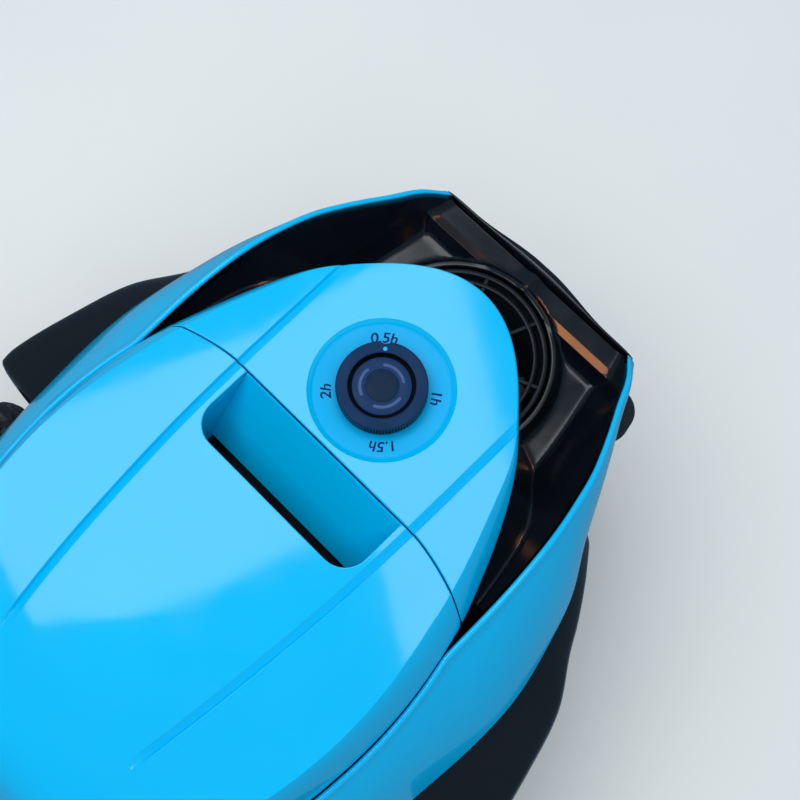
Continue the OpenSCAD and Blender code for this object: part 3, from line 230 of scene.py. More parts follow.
# Y against X in millimetres: half width of the deck's core, and the hood's grooves
CORE_HALF = [(-145, -60), (-125, -10), (-112, 20), (-104, 38), (-92, 58), (-75, 72), (-40, 86)]
GROOVE_X = [(-120, 56.8), (-47, 56.3), (-7, 55), (33, 52), (71, 48), (104, 43.4), (116, 41)]


# ---- curves ----

def curve(s, table):
    """Smooth curve through a table of (station, value) pairs, for one number or an array."""
    t = np.asarray(table, float)
    last = len(t) - 1
    before = np.maximum(np.arange(last + 1) - 1, 0)
    after = np.minimum(np.arange(last + 1) + 1, last)
    slope = (t[after, 1] - t[before, 1]) / (t[after, 0] - t[before, 0])
    i = np.clip(np.searchsorted(t[:, 0], s, side="right") - 1, 0, last - 1)
    h = t[i + 1, 0] - t[i, 0]
    u = np.clip((s - t[i, 0]) / h, 0, 1)
    v = 1 - u
    return (t[i, 1] * (1 + 2 * u) * v * v + slope[i] * h * u * v * v
            + t[i + 1, 1] * u * u * (3 - 2 * u) - slope[i + 1] * h * u * u * v)


def round_width(s, table):
    """Half width that closes round where the table reaches zero."""
    return np.sqrt(np.maximum(curve(s, [(a, b * b) for a, b in table]), 0))


def share(y, a, b):
    return 100 * (y - a) / (b - a)


def hood_share(y):
    return share(y, NOSE_Y, TAIL_Y)


def hood_edge(y):
    return HOOD_HALF / 100 * round_width(hood_share(y), HOOD_PLAN)


def hood_bevel(y):
    return curve(hood_share(y), HOOD_BEVEL)


def hood_lip(y):
    return HOOD_Z - curve(hood_share(y), HOOD_SIDE)


def rim_rear_half(y):
    along = share(y, NOSE_Y, TAIL_Y + RIM_OFFSET)
    return (HOOD_HALF + RIM_OFFSET) / 100 * round_width(along, HOOD_PLAN)


def rim_half_at(y):
    widest = rim_rear_half(RIM_MERGE_Y)
    front = widest / 100 * curve(share(y, RIM_FRONT_Y, RIM_MERGE_Y), RIM_PLAN)
    return np.where(np.asarray(y) > RIM_MERGE_Y, rim_rear_half(y), front)


def rim_z_at(y):
    front = HOOD_Z - curve(share(y, RIM_FRONT_Y, RIM_MERGE_Y), RIM_DROP)
    return np.where(np.asarray(y) > RIM_MERGE_Y, hood_lip(y) - RIM_STEP, front)


def shell_half_at(y):
    along = share(y, RIM_FRONT_Y, SHELL_TAIL_Y)
    return SKIRT_LINE_HALF / 100 * round_width(along, SHELL_PLAN)


def tub_half_at(y):
    return TUB_HALF / 100 * curve(share(y, TUB_FRONT_Y, TUB_REAR_Y), TUB_PLAN)


def mirrored(points):
    """Plan points on the other side of the machine, in reverse order."""
    return points[::-1] * (-1, 1)


def side_name(side):
    return "left" if side > 0 else "right"


def smooth_step(u):
    u = np.clip(u, 0, 1)
    return u * u * (3 - 2 * u)


def blend_max(values, soft):
    """Largest of several height fields, with a fillet of that softness where they meet."""
    stack = np.stack(values)
    top = stack.max(axis=0)
    return top + soft * np.log(np.exp((stack - top) / soft).sum(axis=0))


def edge_fillet(depth, radius):
    """Drop of a rounded edge at a depth inwards from the edge."""
    gap = np.clip(radius - depth, 0, radius)
    return radius - np.sqrt(radius * radius - gap * gap)


def unit(v):
    v = np.asarray(v, float)
    return v / np.maximum(np.linalg.norm(v, axis=-1, keepdims=True), 1e-9)


# ---- making pieces ----

def in_scene(name, data):
    thing = bpy.data.objects.new(name, data)
    bpy.context.scene.collection.objects.link(thing)
    return thing


def new_piece(name, verts, faces, slot, body, replaces=(), normals=None, crease=32, finish=None):
    """Mesh object from millimetres, dressed in its slot's finish and riding on a body."""
    mesh = bpy.data.meshes.new(name)
    mesh.from_pydata((np.asarray(verts, float) * MM).tolist(), [], faces)
    mesh.polygons.foreach_set("use_smooth", [True] * len(mesh.polygons))
    if normals is None:
        mesh.set_sharp_from_angle(angle=math.radians(crease))
    else:
        mesh.normals_split_custom_set(normals)
    return dress(in_scene(name, mesh), slot, body, replaces, finish)


def dress(piece, slot, body, replaces=(), finish=None):
    piece.data.materials.append(MATERIALS[finish or slot])
    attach(piece, body)
    if replaces:
        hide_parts(*replaces)
    return piece


def second_finish(piece, finish, chosen):
    """Another finish for the faces that are chosen by their centre in millimetres."""
    piece.data.materials.append(MATERIALS[finish])
    for face in piece.data.polygons:
        if chosen(*(face.center / MM)):
            face.material_index = 1


def bevelled(piece, width, segments, angle):
    """Rounds the piece's sharp edges by a width in millimetres."""
    bevel = piece.modifiers.new("rounded_edges", "BEVEL")
    bevel.width = width * MM
    bevel.segments = segments
    bevel.limit_method = "ANGLE"
    bevel.angle_limit = math.radians(angle)
    bevel.harden_normals = True


def joined(parts):
    """One list of vertices and faces out of several."""
    verts, faces = [], []
    for part_verts, part_faces in parts:
        start = len(verts)
        verts.extend(np.asarray(part_verts, float).tolist())
        faces.extend([start + i for i in face] for face in part_faces)
    return verts, faces


def grid_faces(rows, columns, wrap_rows=False, wrap_columns=False):
    """Quads between the points of a grid that is stored row by row."""
    row_steps = rows if wrap_rows else rows - 1
    column_steps = columns if wrap_columns else columns - 1
    faces = []
    for i in range(row_steps):
        for j in range(column_steps):
            a, b = i * columns, (i + 1) % rows * columns
            k = (j + 1) % columns
            faces.append([a + j, a + k, b + k, b + j])
    return faces


def loft(rings):
    """Closed skin over a row of closed rings, with flat ends."""
    rings = np.asarray(rings, float)
    rows, columns = rings.shape[:2]
    faces = grid_faces(rows, columns, wrap_columns=True)
    faces.append(list(range(columns - 1, -1, -1)))
    faces.append([(rows - 1) * columns + j for j in range(columns)])
    return rings.reshape(-1, 3), faces


def turned(profile, steps, centre=(0, 0, 0), radius_at=None):
    """Body turned round the Z axis from closed (radius, height) points.

    radius_at(radius, height, angle) may change each point's radius."""
    profile = np.asarray(profile, float)
    angles = np.linspace(0, 2 * math.pi, steps, endpoint=False)[:, None]
    radius = np.repeat(profile[None, :, 0], steps, axis=0)
    height = np.repeat(profile[None, :, 1], steps, axis=0)
    if radius_at:
        radius = radius_at(radius, height, angles)
    verts = np.stack([radius * np.cos(angles), radius * np.sin(angles), height], axis=-1)
    faces = grid_faces(steps, len(profile), wrap_rows=True, wrap_columns=True)
    return verts.reshape(-1, 3) + np.asarray(centre, float), [face[::-1] for face in faces]


def prism(outline, z0, z1):
    """Upright solid on a closed outline."""
    return loft([[(x, y, z) for x, y in outline] for z in (z0, z1)])


def bar(a, b, width, height):
    """Square-edged bar between two points, its width level and its height upright."""
    a, b = np.asarray(a, float), np.asarray(b, float)
    along = unit(b - a)
    across = unit(np.cross(along, (0, 0, 1)) if abs(along[2]) < 0.9 else (1, 0, 0)) * width / 2
    up = unit(np.cross(across, along)) * height / 2
    ring = [across + up, -across + up, -across - up, across - up]
    return loft([[a + r for r in ring], [b + r for r in ring]])


# ---- height fields over a plan outline ----

class PlanLine:
    """Lines in plan that distances are measured from."""

    def __init__(self, *lines, closed=True):
        walls = [([(x, y, z) for z in (-1, 1) for x, y in line],
                  grid_faces(2, len(line), wrap_columns=closed)) for line in lines]
        self.tree = BVHTree.FromPolygons(*joined(walls))

    def nearest(self, points):
        """Nearest spot on the lines, and how far off it is, for each point."""
        hits = [self.tree.find_nearest((x, y, 0)) for x, y in points]
        spots = np.array([hit[0][:2] for hit in hits])
        return spots, np.array([hit[3] for hit in hits])


def inside(points, loop):
    """Which points lie inside a closed loop."""
    x, y = points[:, 0:1], points[:, 1:2]
    a = np.asarray(loop, float)
    b = np.roll(a, -1, axis=0)
    rise = np.where(b[:, 1] == a[:, 1], 1, b[:, 1] - a[:, 1])
    crosses = (a[:, 1] > y) != (b[:, 1] > y)
    return (crosses & (x < a[:, 0] + (y - a[:, 1]) * (b[:, 0] - a[:, 0]) / rise)).sum(1) % 2 == 1


def offset_line(line, depths):
    """Copies of a closed counter-clockwise line, moved inwards by each depth."""
    line = np.asarray(line, float)
    run = unit(np.roll(line, -1, axis=0) - np.roll(line, 1, axis=0))
    inward = np.stack([-run[:, 1], run[:, 0]], axis=1)
    copies = []
    for depth in depths:
        copy = line + inward * np.asarray(depth).reshape(-1, 1)
        copies.append(np.vstack([copy, copy[:1]]))
    return copies


def arc(radius, first, last, steps, centre=(0, 0)):
    """Points on an arc between two angles in radians, with both ends."""
    a = np.linspace(first, last, steps)
    return np.stack([centre[0] + radius * np.cos(a), centre[1] + radius * np.sin(a)], axis=1)


def circle(radius, centre=(0, 0), steps=180):
    return arc(radius, 0, 2 * math.pi, steps + 1, centre)[:-1]


def ring_line(radius, centre, steps):
    """Circle whose last point is its first, as a line for plan_mesh."""
    ring = circle(radius, centre, steps)
    return np.vstack([ring, ring[:1]])


def level_line(x, y):
    """Plan line through the given X values at one Y."""
    return np.column_stack([x, np.full(len(x), y)])


def plan_mesh(outline, holes, lines, spacing):
    """Counter-clockwise triangles over an outline, with every given line kept as edges."""
    loops = [np.asarray(loop, float) for loop in (outline, *holes)]
    lines = [np.asarray(line, float) for line in lines]
    verts, edges = [], []
    for line, closed in [(loop, True) for loop in loops] + [(line, False) for line in lines]:
        start, n = len(verts), len(line)
        verts.extend(line.tolist())
        edges.extend((start + i, start + i + 1) for i in range(n - 1))
        if closed:
            edges.append((start + n - 1, start))
    low, high = loops[0].min(axis=0), loops[0].max(axis=0)
    rows = np.arange(low[1], high[1], spacing * 0.866)
    grid = np.array([(x + spacing / 2 * (i % 2), y) for i, y in enumerate(rows)
                     for x in np.arange(low[0], high[0], spacing)])
    clear = PlanLine(*loops).nearest(grid)[1]
    if lines:
        clear = np.minimum(clear, PlanLine(*lines, closed=False).nearest(grid)[1])
    grid = grid[(clear > spacing * 0.45) & kept(grid, loops)]
    verts.extend(grid.tolist())
    result = geometry.delaunay_2d_cdt([Vector(v) for v in verts], edges, [], 0, 1e-3, False)
    points = np.array([tuple(v) for v in result[0]])
    triangles = np.array(result[2])
    corner = points[triangles]
    area = np.cross(corner[:, 1] - corner[:, 0], corner[:, 2] - corner[:, 0])
    triangles[area < 0] = triangles[area < 0][:, ::-1]
    triangles = triangles[(np.abs(area) > 1e-6) & kept(corner.mean(axis=1), loops)]
    used, index = np.unique(triangles, return_inverse=True)
    return points[used], index.reshape(-1, 3)


def kept(points, loops):
    """Which points lie inside the first loop and outside the others."""
    keep = inside(points, loops[0])
    for hole in loops[1:]:
        keep &= ~inside(points, hole)
    return keep


def height_piece(name, plan, height, thickness, slot, body, replaces=(), matrix=None):
    """Shell of even thickness under a height field, shaded with the field's own slopes."""
    points, triangles = plan
    n = len(points)
    directed = np.concatenate([triangles[:, [0, 1]], triangles[:, [1, 2]], triangles[:, [2, 0]]])
    twins = {(a, b) for a, b in directed.tolist()}
    border = [(a, b) for a, b in directed.tolist() if (b, a) not in twins]
    # slopes of border points are taken a little way inside, where the field is smooth
    probe = points.copy()
    centres = points[triangles].mean(axis=1)
    total, count = np.zeros_like(points), np.zeros((n, 1))
    for k in range(3):
        np.add.at(total, triangles[:, k], centres)
        np.add.at(count, triangles[:, k], 1)
    rim = np.array(sorted({a for edge in border for a in edge}))
    probe[rim] += 0.2 * unit(total[rim] / count[rim] - points[rim])
    step = 0.08
    slope_x = (height(probe + (step, 0)) - height(probe - (step, 0))) / (2 * step)
    slope_y = (height(probe + (0, step)) - height(probe - (0, step))) / (2 * step)
    up = unit(np.stack([-slope_x, -slope_y, np.ones(n)], axis=1))
    top = np.column_stack([points, height(points)])
    verts = np.vstack([top, top - (0, 0, thickness)])
    walls = [[a, a + n, b + n, b] for a, b in border]
    faces = triangles.tolist() + (triangles[:, ::-1] + n).tolist() + walls
    run = np.array([points[b] - points[a] for a, b in border])
    outward = unit(np.column_stack([run[:, 1], -run[:, 0], np.zeros(len(run))]))
    normals = np.concatenate([up[triangles.ravel()], -up[triangles[:, ::-1].ravel()],
                              np.repeat(outward, 4, axis=0)])
    if matrix is not None:
        turn = np.array(matrix.to_3x3())
        verts = verts @ turn.T + np.array(matrix.translation)
        normals = normals @ turn.T
    return new_piece(name, verts, faces, slot, body, replaces, normals=normals.tolist())


# ---- materials ----

# Places of the Mix node's colour sockets
MIX_FACTOR = 0
MIX_FIRST = 6
MIX_SECOND = 7
MIX_RESULT = 2


class Nodes:
    """Short way to build one material's nodes."""

    def __init__(self, name):
        self.material = bpy.data.materials.new(name)
        self.material.use_nodes = True
        self.tree = self.material.node_tree
        self.shader = self.tree.nodes["Principled BSDF"]
        self.place = self.tree.nodes.new("ShaderNodeTexCoord").outputs["Object"]

    def add(self, kind, inputs=None, **settings):
        node = self.tree.nodes.new(kind)
        for key, value in settings.items():
            setattr(node, key, value)
        for key, value in (inputs or {}).items():
            if hasattr(value, "is_output"):
                self.tree.links.new(value, node.inputs[key])
            else:
                node.inputs[key].default_value = value
        return node

    def noise(self, scale, detail=3.0, stretch=None):
        """Noise in cycles per millimetre."""
        place = self.place
        if stretch:
            place = self.add("ShaderNodeMapping", {"Vector": place, "Scale": stretch}).outputs[0]
        inputs = {"Vector": place, "Scale": scale / MM, "Detail": detail}
        return self.add("ShaderNodeTexNoise", inputs).outputs["Fac"]

    def ramp(self, fac, low, high, a=0.35, b=0.65):
        """A value from low to high as the factor goes from a to b."""
        inputs = {"Value": fac, "From Min": a, "From Max": b, "To Min": low, "To Max": high}
        return self.add("ShaderNodeMapRange", inputs).outputs[0]

    def mix(self, fac, first, second):
        """Blend of two colours. The Mix node's colour sockets share their names with others."""
        inputs = {MIX_FACTOR: fac, MIX_FIRST: first, MIX_SECOND: second}
        return self.add("ShaderNodeMix", inputs, data_type="RGBA").outputs[MIX_RESULT]

    def math(self, operation, a, b=0.0):
        return self.add("ShaderNodeMath", {0: a, 1: b}, operation=operation).outputs[0]

    def finish(self, tone, first, second, rough, relief, **values):
        """Two colours mixed by a tone, a roughness, a relief and other plain values."""
        inputs = self.shader.inputs
        self.tree.links.new(self.mix(tone, first, second), inputs["Base Color"])
        self.tree.links.new(rough, inputs["Roughness"])
        if relief:
            self.tree.links.new(relief, inputs["Normal"])
        for socket, value in values.items():
            inputs[socket.replace("_", " ")].default_value = value
        return self.material

    def bump(self, height, depth, normal=None):
        """Bump of a depth in millimetres."""
        inputs = {"Height": height, "Strength": 1.0, "Distance": depth * MM}
        if normal:
            inputs["Normal"] = normal
        return self.add("ShaderNodeBump", inputs).outputs["Normal"]

    def axis(self, index):
        """Object coordinate along one axis, in metres."""
        return self.add("ShaderNodeSeparateXYZ", {0: self.place}).outputs[index]


def rgb(red, green, blue):
    """Linear colour from 0-255 display values."""
    def linear(value):
        value /= 255
        return value / 12.92 if value <= 0.04045 else ((value + 0.055) / 1.055) ** 2.4
    return (linear(red), linear(green), linear(blue), 1.0)


def moulded(name, colour, shade, rough, grain=0.02, grain_scale=2.0, spread=0.06, sheen=0.5):
    """Moulded plastic: faint colour drift, worn sheen and a fine surface grain."""
    n = Nodes(name)
    drift = n.ramp(n.noise(0.012, 4), 0, 1, 0.3, 0.7)
    wear = n.ramp(n.noise(0.06, 5), rough - spread, rough + spread)
    return n.finish(drift, rgb(*colour), rgb(*shade), wear,
                    n.bump(n.noise(grain_scale, 2), grain), Specular_IOR_Level=sheen)


def gloss_cyan():
    """Polished cyan shell: very slight waves in the gloss, hairline dust and drift in colour."""
    n = Nodes("cyan_shell")
    drift = n.ramp(n.noise(0.008, 3), 0, 1, 0.3, 0.7)
    wave = n.bump(n.noise(0.03, 2), 0.04)
    return n.finish(drift, rgb(0, 187, 240), rgb(0, 181, 236), n.ramp(n.noise(0.05, 6), 0.05, 0.09),
                    n.bump(n.noise(0.9, 2), 0.0008, wave), IOR=1.5)


def tyre_rubber():
    """Dull rubber with pale dust in its pores."""
    n = Nodes("tyre")
    dust = n.ramp(n.noise(0.25, 6), 0, 1, 0.45, 0.75)
    return n.finish(dust, rgb(34, 38, 44), rgb(66, 72, 80), n.ramp(n.noise(0.1, 4), 0.62, 0.8),
                    n.bump(n.noise(1.4, 4), 0.06))


def brushed_steel(name, colour, rough):
    """Drawn metal with fine lines along X."""
    n = Nodes(name)
    lines = n.noise(0.9, 3, (0.03, 1, 1))
    shade = tuple(c * 0.8 for c in colour[:3]) + (1,)
    return n.finish(lines, colour, shade, n.ramp(lines, rough - 0.08, rough + 0.1),
                    n.bump(lines, 0.01), Metallic=1.0)


def turned_slate():
    """Satin button face: a dark disc with concentric turning marks inside a plain ring."""
    n = Nodes("slate_button")
    across = n.math("POWER", n.axis(X), 2.0)
    along = n.math("POWER", n.math("SUBTRACT", n.axis(Y), DIAL_Y * MM), 2.0)
    radius = n.math("SQRT", n.math("ADD", across, along))
    marks = n.math("SINE", n.math("MULTIPLY", radius, 2 * math.pi / (TURNING_PITCH * MM)))
    tone = n.ramp(marks, 0, 1, -1, 1)
    disc = n.mix(tone, rgb(8, 31, 52), rgb(17, 44, 70))
    ring = n.ramp(radius, 0, 1, BUTTON_DISC_R * MM, (BUTTON_DISC_R + 0.2) * MM)
    return n.finish(ring, disc, rgb(22, 51, 90), n.ramp(tone, 0.34, 0.42, 0, 1),
                    n.bump(marks, 0.02), Specular_IOR_Level=0.12)


def circuit_green():
    """Solder mask with faint copper tracks under it."""
    n = Nodes("circuit_board")
    inputs = {"Vector": n.place, "Scale": 300.0, "Mortar Size": 0.06}
    tracks = n.add("ShaderNodeTexBrick", inputs).outputs["Fac"]
    return n.finish(tracks, rgb(16, 92, 52), rgb(40, 128, 72), n.ramp(n.noise(0.4), 0.25, 0.4),
                    n.bump(tracks, 0.03))


def battery_wrap():
    """Shrink wrap over the cells, with fine wrinkles."""
    n = Nodes("battery_wrap")
    return n.finish(n.noise(0.05), rgb(30, 96, 170), rgb(40, 116, 190),
                    n.ramp(n.noise(0.2, 4), 0.22, 0.4), n.bump(n.noise(0.5, 5, (1, 1, 0.2)), 0.08))


def light_lens():
    """Frosted light window, unlit."""
    n = Nodes("light_lens")
    return n.finish(n.noise(0.6), rgb(50, 76, 122), rgb(60, 88, 136),
                    n.ramp(n.noise(2.0), 0.25, 0.4), None, Specular_IOR_Level=0.2)


def floor_material():
    """Pale studio floor with a faint mottle."""
    n = Nodes("studio_floor")
    return n.finish(n.noise(0.004, 4), rgb(232, 230, 226), rgb(240, 237, 232),
                    n.ramp(n.noise(0.02), 0.55, 0.7), None)


# Colour and shade as display values, roughness, depth of the grain in millimetres and its scale,
# spread of the roughness, and sheen
PLASTICS = {
    "cyan_satin": ((0, 172, 230), (0, 166, 225), 0.32, 0.004, 0.9, 0.06, 0.14),
    "cyan_mark": ((0, 178, 232), (0, 170, 226), 0.35, 0.01),
    "black_gloss": ((7, 11, 17), (10, 15, 22), 0.16, 0.004, 0.8, 0.04),
    "black_satin": ((9, 14, 21), (12, 18, 27), 0.3, 0.01, 1.2, 0.06, 0.28),
    # black_deep: near black, the painted shade given to the nodes that sit down narrow gaps
    "black_deep": ((2, 3, 5), (4, 6, 9), 0.42, 0.02, 1.5, 0.06, 0.04),
    "black_matt": ((34, 39, 45), (42, 48, 55), 0.55, 0.05, 2.2),
    "slate_knob": ((20, 50, 86), (16, 45, 79), 0.5, 0.03, 3.0, 0.06, 0.12),
    # knob side: near black, painted shade on the knob's ribbed side below its slate top
    "knob_side_painted_shade": ((13, 18, 26), (18, 24, 33), 0.28, 0.01, 3.0),
    "slate_basket": ((58, 78, 100), (66, 88, 112), 0.45, 0.03),
    "grey_plastic": ((70, 78, 88), (80, 88, 98), 0.5, 0.04),
    "filter_mesh": ((176, 190, 200), (150, 166, 178), 0.6, 0.03, 4.0),
    "rubber": ((28, 31, 35), (38, 42, 47), 0.68, 0.08, 1.6),
    "brush_rubber": ((0, 128, 176), (0, 112, 158), 0.6, 0.06, 1.2),
    "label_ink": ((10, 34, 92), (14, 40, 100), 0.45, 0.005, 2.0, 0.06, 0.1),
}
MATERIALS = {name: moulded(name, *values) for name, values in PLASTICS.items()}
MATERIALS.update(
    cyan_shell=gloss_cyan(),
    slate_button=turned_slate(),
    light_lens=light_lens(),
    circuit_board=circuit_green(),
    battery_wrap=battery_wrap(),
    tyre=tyre_rubber(),
    steel=brushed_steel("steel", rgb(196, 200, 204), 0.25),
    motor_can=brushed_steel("motor_can", rgb(150, 154, 160), 0.38),
    bronze=brushed_steel("bronze", rgb(190, 146, 84), 0.35),
)


# ---- hood ----

def hood_top(x, y):
    crown = HOOD_Z - curve(hood_share(y), HOOD_CROWN)
    half = np.maximum(hood_edge(y) - hood_bevel(y), CAMBER_HALF)
    return crown - CAMBER * (x / half) ** 2


def hood_side_line(count):
    """Points of the hood's plan on its +X side, from nose to tail."""
    turn = np.linspace(0, math.pi, count)
    y = NOSE_Y + (TAIL_Y - NOSE_Y) * (1 - np.cos(turn)) / 2
    return np.column_stack([hood_edge(y), y])


def seam_y(x):
    swing = np.maximum(np.abs(x) - SEAM_FLAT, 0) / SEAM_RUN
    return SEAM_Y + SEAM_SWEEP * swing ** SEAM_POWER


HOOD_SIDE_LINE = hood_side_line(420)
HOOD_OUTLINE = np.vstack([HOOD_SIDE_LINE, mirrored(HOOD_SIDE_LINE)[1:-1]])
HOOD_LINE = PlanLine(HOOD_OUTLINE)


def dish_blend(points):
    """How far each point has sunk to the dish's floor, from 0 to 1."""
    radius = np.hypot(points[:, 0], points[:, 1] - DIAL_Y)
    u = np.clip((DISH_R - radius) / DISH_WALL, 0, 1)
    return radius, 1 - (1 - u) ** DISH_ROUND


def groove_drop(points):
    """Depth of the two pressed grooves, which fade out towards the nose and the tail."""
    x, y = points.T
    off = (curve(y, GROOVE_X) - np.abs(x)) / GROOVE_HALF
    outer_face = (1 + off) / (1 + GROOVE_VALLEY)
    inner_face = (1 - off) / (1 - GROOVE_VALLEY)
    front, rear = GROOVE_Y
    fade = smooth_step((y - front) / GROOVE_FADE) * smooth_step((rear - y) / GROOVE_FADE)
    return GROOVE_DEPTH * fade * np.clip(np.minimum(outer_face, inner_face), 0, 1)


def hood_height(own_line):
    """Height field of one hood piece; its own outline gets a rounded edge."""
    def height(points):
        x, y = points.T
        spot, far = HOOD_LINE.nearest(points)
        u = np.clip(1 - far / hood_bevel(spot[:, 1]), 0, 1)
        drop = hood_top(*spot.T) - hood_lip(spot[:, 1])
        z = hood_top(x, y) - drop * (BEVEL_CREASE * u + (1 - BEVEL_CREASE) * u * u)
        z -= groove_drop(points)
        radius, sunk = dish_blend(points)
        floor = DISH_Z + DISH_SLOPE * np.maximum(radius - DIAL_R, 0)
        z += (floor - z) * sunk
        z -= DISH_LINE * np.exp(-((radius - DISH_R + DISH_WALL) / DISH_LINE_HALF) ** 2)
        return z - edge_fillet(own_line.nearest(points)[1], EDGE_R)
    return height


def hood_lines(outline):
    """Lines of the hood's surface that the triangles follow."""
    bevel = hood_bevel(HOOD_OUTLINE[:, 1])
    lines = offset_line(HOOD_OUTLINE, [bevel * 0.5, bevel * 0.8, bevel - 0.12, bevel + 0.12])
    lines += offset_line(outline, [EDGE_R * k for k in (0.1, 0.3, 0.6, 0.9, 1.2)])
    y = np.arange(GROOVE_Y[0] + 2, GROOVE_Y[1], 2.0)
    middle = curve(y, GROOVE_X)
    for off in (-1.06, -0.94, -0.5, -0.4, 0.25, 0.94, 1.06):
        groove = np.column_stack([middle - off * GROOVE_HALF, y])
        lines += [groove, groove * (-1, 1)]
    return lines


def seam_across(gap):
    """Seam from the -X edge of the hood to the +X edge, and the outlines' corner on it."""
    side = HOOD_SIDE_LINE
    behind = side[:, 1] > seam_y(side[:, 0]) + gap
    corner = side[np.argmax(behind)]
    x = np.linspace(-corner[0], corner[0], 141)[1:-1]
    return np.column_stack([x, seam_y(x) + gap]), behind


# Circles of the cap's mesh, close together where the dish's wall bends
DISH_RINGS = (35.1, 34.9, 34.5, 34.0, 33.5, 33.0, 32.8, 32.6, 32.4, 32.2, 31.8)


def front_cap():
    seam, behind = seam_across(0)
    front = HOOD_SIDE_LINE[~behind]
    outline = np.vstack([mirrored(front)[:-1], front, seam[::-1]])
    lines = hood_lines(outline) + [ring_line(r, (0, DIAL_Y), 240) for r in DISH_RINGS]
    plan = plan_mesh(outline, [circle(CAP_HOLE_R, (0, DIAL_Y))], lines, spacing=2.6)
    piece = height_piece("front_cap_shell", plan, hood_height(PlanLine(outline)), HOOD_WALL,
                         "cyan_shell", "hull", ["front_cap"])
    dish_floor_r = DISH_R - DISH_WALL
    second_finish(piece, "cyan_satin", lambda x, y, z: math.hypot(x, y - DIAL_Y) < dish_floor_r)


def grip_cutout():
    """Cut-out for the hand, from its -X corner on the seam round to the +X corner."""
    centre = (GRIP_HALF - GRIP_R, GRIP_REAR_Y - GRIP_R)
    side_y = np.arange(SEAM_Y + SEAM_GAP, centre[1], 1.5)
    side = np.column_stack([np.full(len(side_y), GRIP_HALF), side_y])
    right = np.vstack([side, arc(GRIP_R, 0, math.pi / 2, 9, centre)])
    rear = level_line(np.arange(-centre[0] + 2, centre[0] - 1, 2.0), GRIP_REAR_Y)
    return np.vstack([right * (-1, 1), rear, right[::-1]])


def top_lid():
    seam, behind = seam_across(SEAM_GAP)
    rear = HOOD_SIDE_LINE[behind]
    left = seam[seam[:, 0] < -GRIP_HALF - EDGE_R]
    right = seam[seam[:, 0] > GRIP_HALF + EDGE_R]
    outline = np.vstack([rear, mirrored(rear)[1:], left, grip_cutout(), right])
    plan = plan_mesh(outline, (), hood_lines(outline), spacing=3.0)
    height_piece("lid_shell", plan, hood_height(PlanLine(outline)), HOOD_WALL,
                 "cyan_shell", "lid", ["top_lid"])


def slab_x(x0, x1, profile):
    """Solid between two X values on a closed (y, z) profile, counter-clockwise from +X."""
    return loft([[(x, y, z) for y, z in profile] for x in (x0, x1)])


def grip_scoop():
    """Sloping floor of the hand grip between two cheeks, open along its foot."""
    front, rear = span("grip_scoop", Y)
    base = span("grip_scoop", Z)[0]
    top, under = HOOD_Z - GRIP_DROP, HOOD_Z - HOOD_WALL - GRIP_CLEAR
    foot_y = rear - GRIP_SLOT
    slope = [(front, top - 4), (foot_y - 2, base)]
    floor = slope + [(foot_y, base + 0.6), (foot_y, base + GRIP_SHEET), (front + 1.2, top),
                     (front + 0.3, top - 0.3), (front, top - 1)]
    cheek = slope + [(rear, base), (rear, under), (front, under)]
    half = GRIP_HALF - SEAT
    parts = [slab_x(-half - 0.1, half + 0.1, floor), slab_x(half, half + GRIP_CHEEK, cheek),
             slab_x(-half - GRIP_CHEEK, -half, cheek)]
    new_piece("grip_pocket", *joined(parts), "cyan_shell", "hull", ["grip_scoop"])


# ---- shell ----

def quadratic(a, through, b, steps):
    """Curve from a to b that passes through a middle point."""
    a, through, b = (np.asarray(p, float) for p in (a, through, b))
    control = 2 * through - (a + b) / 2
    t = np.linspace(0, 1, steps)[:, None]
    return (1 - t) ** 2 * a + 2 * t * (1 - t) * control + t * t * b


def shell_section(t):
    """Section through the shell's wall on its +X side, at a share of the way to the tail."""
    f = math.sin(math.pi / 2 * t)
    yr = RIM_FRONT_Y + (TAIL_Y + RIM_OFFSET - RIM_FRONT_Y) * f
    yl = RIM_FRONT_Y + (SHELL_TAIL_Y - RIM_FRONT_Y) * f
    xr, xl, zr = float(rim_half_at(yr)), float(shell_half_at(yl)), float(rim_z_at(yr))
    turn = max(f ** 3 - SHELL_TURN, 0) / (1 - SHELL_TURN)
    half = SHELL_WALL / 2
    wall = np.array([half * (1 - turn), half * turn, 0])
    belly = SHELL_BELLY * (1 - turn)
    mid = np.array([(xr + xl) / 2 + belly, (yr + yl) / 2, (zr + SPLIT_Z) / 2 + 2])
    rim = np.array([xr, yr, zr - SHELL_LIP_R])
    foot = np.array([xl, yl, SPLIT_Z])
    outer = quadratic(foot, mid + wall * (0, 1, 0), rim + wall, 14)
    angles = np.linspace(0, math.pi, 9)[1:-1]
    lip = [rim + wall * math.cos(a) + (0, 0, SHELL_LIP_R * math.sin(a)) for a in angles]
    inner = quadratic(rim - wall, mid - 2 * wall - (0, 0, half), foot - 2 * wall, 10)
    return np.vstack([outer, lip, inner])


def outer_shell():
    stations = 150
    left = [shell_section(k / stations) for k in range(stations + 1)]
    rings = left + [ring * (-1, 1, 1) for ring in left[-2::-1]]
    new_piece("shell_band", *loft(rings), "cyan_shell", "hull", ["outer_shell"], crease=50)


# ---- decks ----

def ledge_height(y):
    """Ledge across the deck's front: a rear slope, a strip sloping forward and a level tread."""
    rear = LEDGE_TOP_Z - LEDGE_REAR_SLOPE * (y - LEDGE_Y)
    strip = LEDGE_TOP_Z - LEDGE_SLOPE * np.clip(LEDGE_Y - y, 0, LEDGE_WIDTH)
    return np.minimum(rear, strip)


